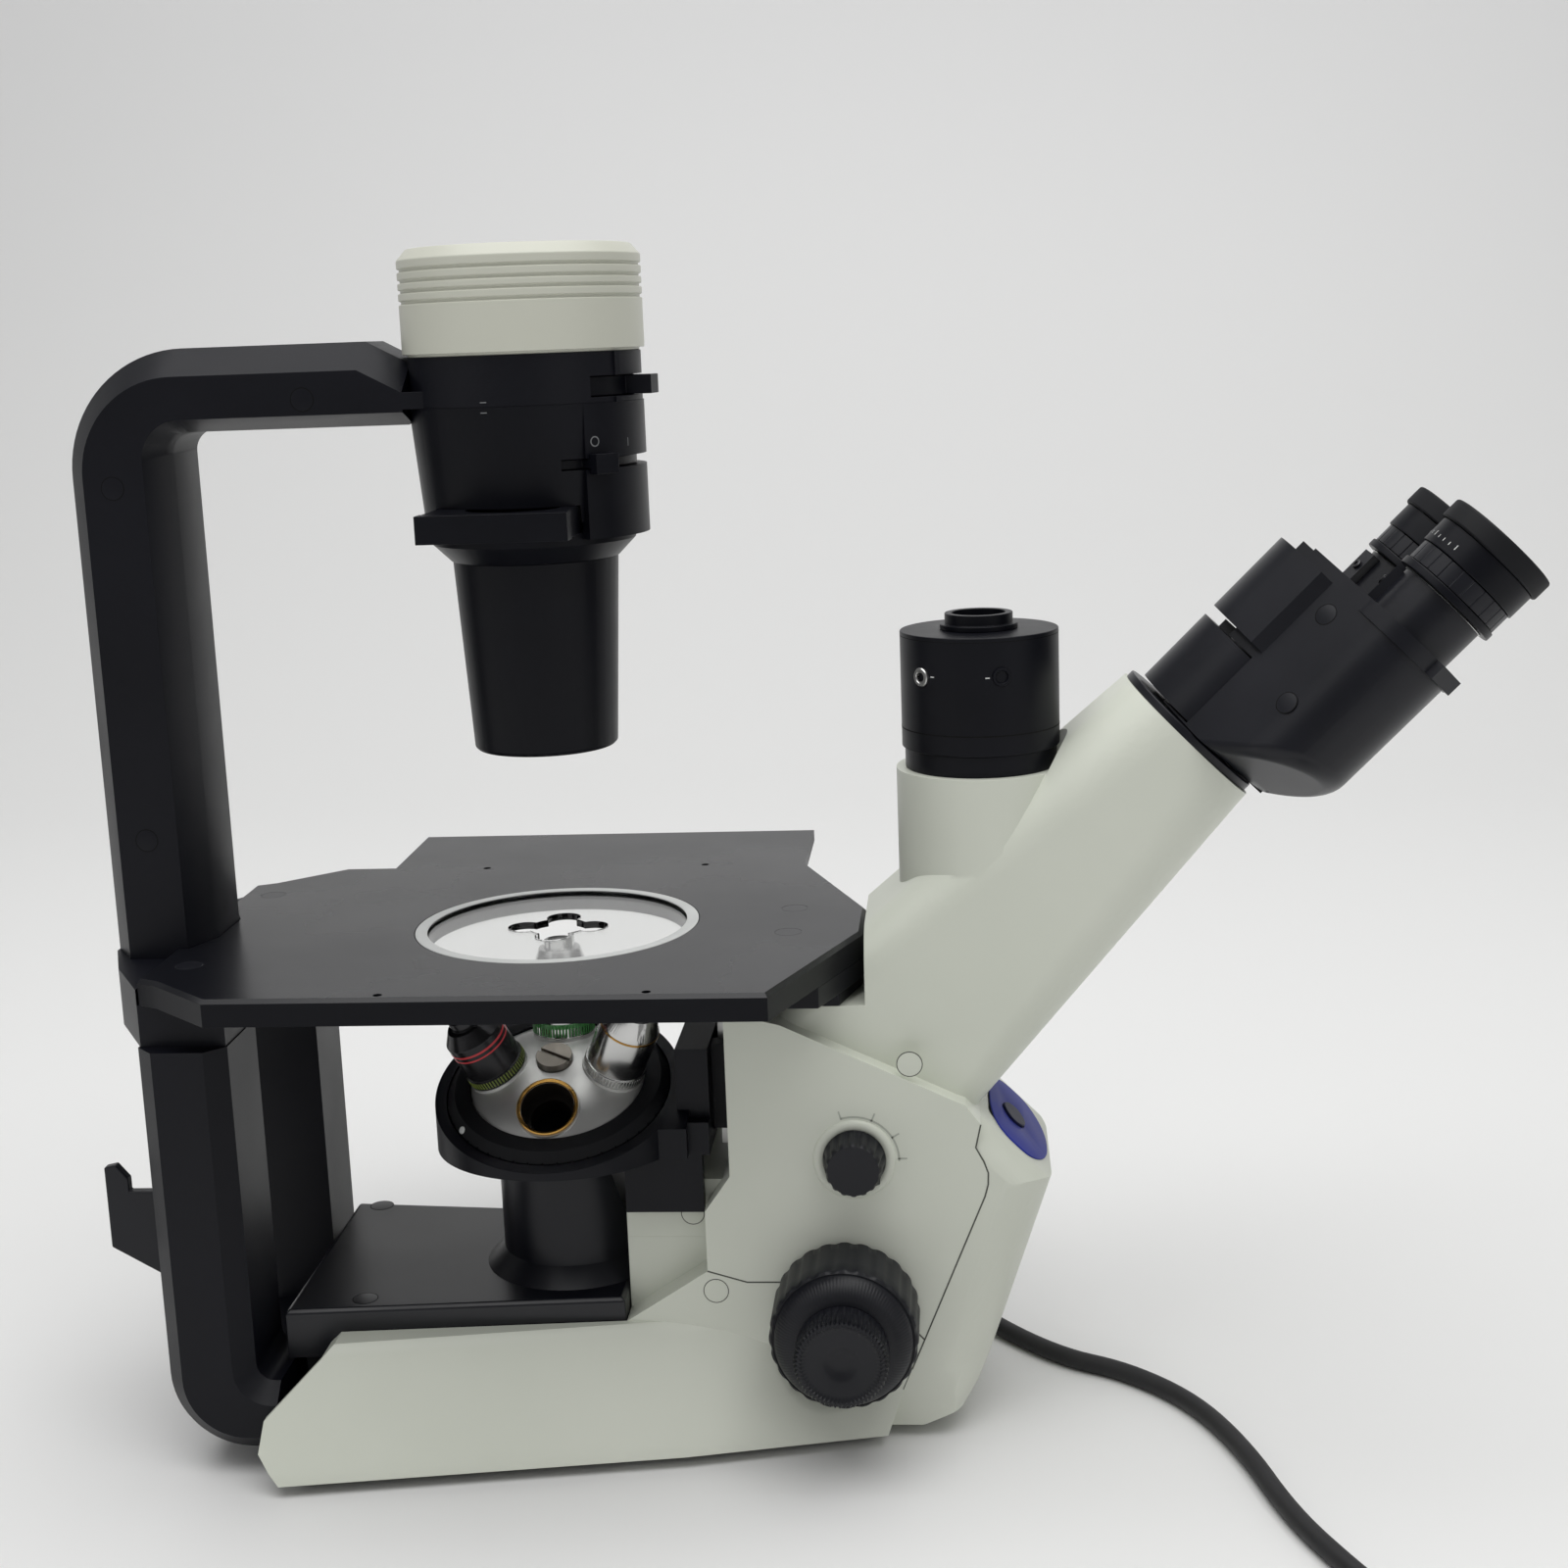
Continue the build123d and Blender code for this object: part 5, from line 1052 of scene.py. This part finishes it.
def makeRim(facts):
    insertLow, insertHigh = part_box("stage_insert")
    middle = ((insertLow[0] + insertHigh[0]) / 2 * perMetre, (insertLow[1] + insertHigh[1]) / 2 * perMetre, 0.0)
    outer = (insertHigh[0] - insertLow[0]) / 2 * perMetre
    inner = outer - facts["wide"]
    low, high = insertHigh[2] * perMetre - facts["below"], insertHigh[2] * perMetre + facts["above"]
    side = high - facts["shoulder"]
    rim = turnPiece("insertRim", [
        (inner, low), (outer, low), (outer, side),
        (outer - facts["outerEdge"], high), (inner + facts["innerEdge"], high), (inner, side),
    ], middle, (0, 0, 1), facts["steps"])
    finishPiece(rim, bodyOf["stage_insert"], slotOf["stage_insert"], "rimFrost")


makeRim(rimFacts)
print("insert edged")

# strap that ties the put-away coil
tieFacts = {"middle": (212.8, -222.0, 11.9), "size": (18.4, 9.0, 22.8), "wall": 0.8, "rounding": 0.3, "segments": 2}


def makeTie(facts):
    clearPicks()
    bpy.ops.mesh.primitive_cube_add(size=1, location=Vector(facts["middle"]) / perMetre)
    tie = bpy.context.object
    tie.name = "coilTie"
    tie.scale = Vector(facts["size"]) / perMetre
    settle(tie)
    for face in tie.data.polygons:
        face.select = abs(face.normal.y) > 0.9
    for edge in tie.data.edges:
        edge.select = False
    for vertex in tie.data.vertices:
        vertex.select = False
    bpy.context.tool_settings.mesh_select_mode = (False, False, True)
    bpy.ops.object.mode_set(mode="EDIT")
    bpy.ops.mesh.delete(type="FACE")
    bpy.ops.object.mode_set(mode="OBJECT")
    wall = tie.modifiers.new("wall", "SOLIDIFY")
    wall.thickness = facts["wall"] / perMetre
    wall.offset = -1
    rounding = tie.modifiers.new("rounding", "BEVEL")
    rounding.width = facts["rounding"] / perMetre
    rounding.segments = facts["segments"]
    applyAll(tie)
    return finishPiece(tie, "stand", "black_rubber", "cordRubber")


coilTie = makeTie(tieFacts)
print("coil tied")


# floor that turns up into a backdrop, soft lamps and a pale room, in metres
studioFacts = {
    "width": 9.0, "front": -3.0, "bendStart": 1.1, "bendRadius": 0.9, "wallTop": 4.5, "pieces": 14,
    "floorTone": (236, 236, 235), "wallTone": (226, 226, 227), "toneTop": 1.6, "rough": 0.55, "room": 0.235,
    "lamps": [
        {"place": (0.1, -0.2, 2.3), "aim": (0.05, 0.1, 0.15), "size": 2.6, "power": 55.0},
        {"place": (-1.8, -1.5, 1.3), "aim": (0.05, 0.0, 0.2), "size": 1.6, "power": 4.4},
        {"place": (1.9, -1.6, 1.2), "aim": (0.05, 0.0, 0.2), "size": 1.6, "power": 4.4},
    ],
}


def makeStudio(facts):
    clearPicks()
    profile = [(facts["front"], 0.0), (facts["bendStart"], 0.0)]
    for step in range(1, facts["pieces"] + 1):
        angle = math.pi / 2 * step / facts["pieces"]
        profile.append((
            facts["bendStart"] + facts["bendRadius"] * math.sin(angle),
            facts["bendRadius"] * (1 - math.cos(angle)),
        ))
    profile.append((facts["bendStart"] + facts["bendRadius"], facts["wallTop"]))
    half = facts["width"] / 2
    corners = [(side, y, z) for y, z in profile for side in (-half, half)]
    quads = [(2 * k, 2 * k + 1, 2 * k + 3, 2 * k + 2) for k in range(len(profile) - 1)]
    sheet = bpy.data.meshes.new("paleBackdrop")
    sheet.from_pydata(corners, [], quads)
    backdrop = addObject("paleBackdrop", sheet)
    pick(backdrop)
    bpy.ops.object.shade_smooth()
    material = bpy.data.materials.new("paleBackdrop")
    material.use_nodes = True
    tree = material.node_tree
    shader = tree.nodes["Principled BSDF"]
    coords = tree.nodes.new("ShaderNodeTexCoord")
    split = tree.nodes.new("ShaderNodeSeparateXYZ")
    rise = tree.nodes.new("ShaderNodeMapRange")
    setInputs(rise, {"From Max": facts["toneTop"]})
    mix = tree.nodes.new("ShaderNodeMix")
    mix.data_type = "RGBA"
    setInputs(mix, {6: tone(*facts["floorTone"]), 7: tone(*facts["wallTone"])})
    tree.links.new(coords.outputs["Object"], split.inputs[0])
    tree.links.new(split.outputs["Z"], rise.inputs["Value"])
    tree.links.new(rise.outputs["Result"], mix.inputs[0])
    tree.links.new(mix.outputs[2], shader.inputs["Base Color"])
    setInputs(shader, {"Roughness": facts["rough"]})
    sheet.materials.append(material)
    for number, lamp in enumerate(facts["lamps"]):
        data = bpy.data.lights.new(f"softLamp{number}", "AREA")
        data.energy = lamp["power"]
        data.size = lamp["size"]
        light = addObject(f"softLamp{number}", data)
        light.location = lamp["place"]
        light.rotation_euler = (Vector(lamp["aim"]) - Vector(lamp["place"])).to_track_quat("-Z", "Y").to_euler()
    world = bpy.data.worlds.new("paleRoom")
    world.use_nodes = True
    setInputs(world.node_tree.nodes["Background"], {"Color": (1, 1, 1, 1), "Strength": facts["room"]})
    bpy.context.scene.world = world
    bpy.context.scene.view_settings.view_transform = "Standard"


makeStudio(studioFacts)
print("studio lit")

bpy.context.view_layer.update()
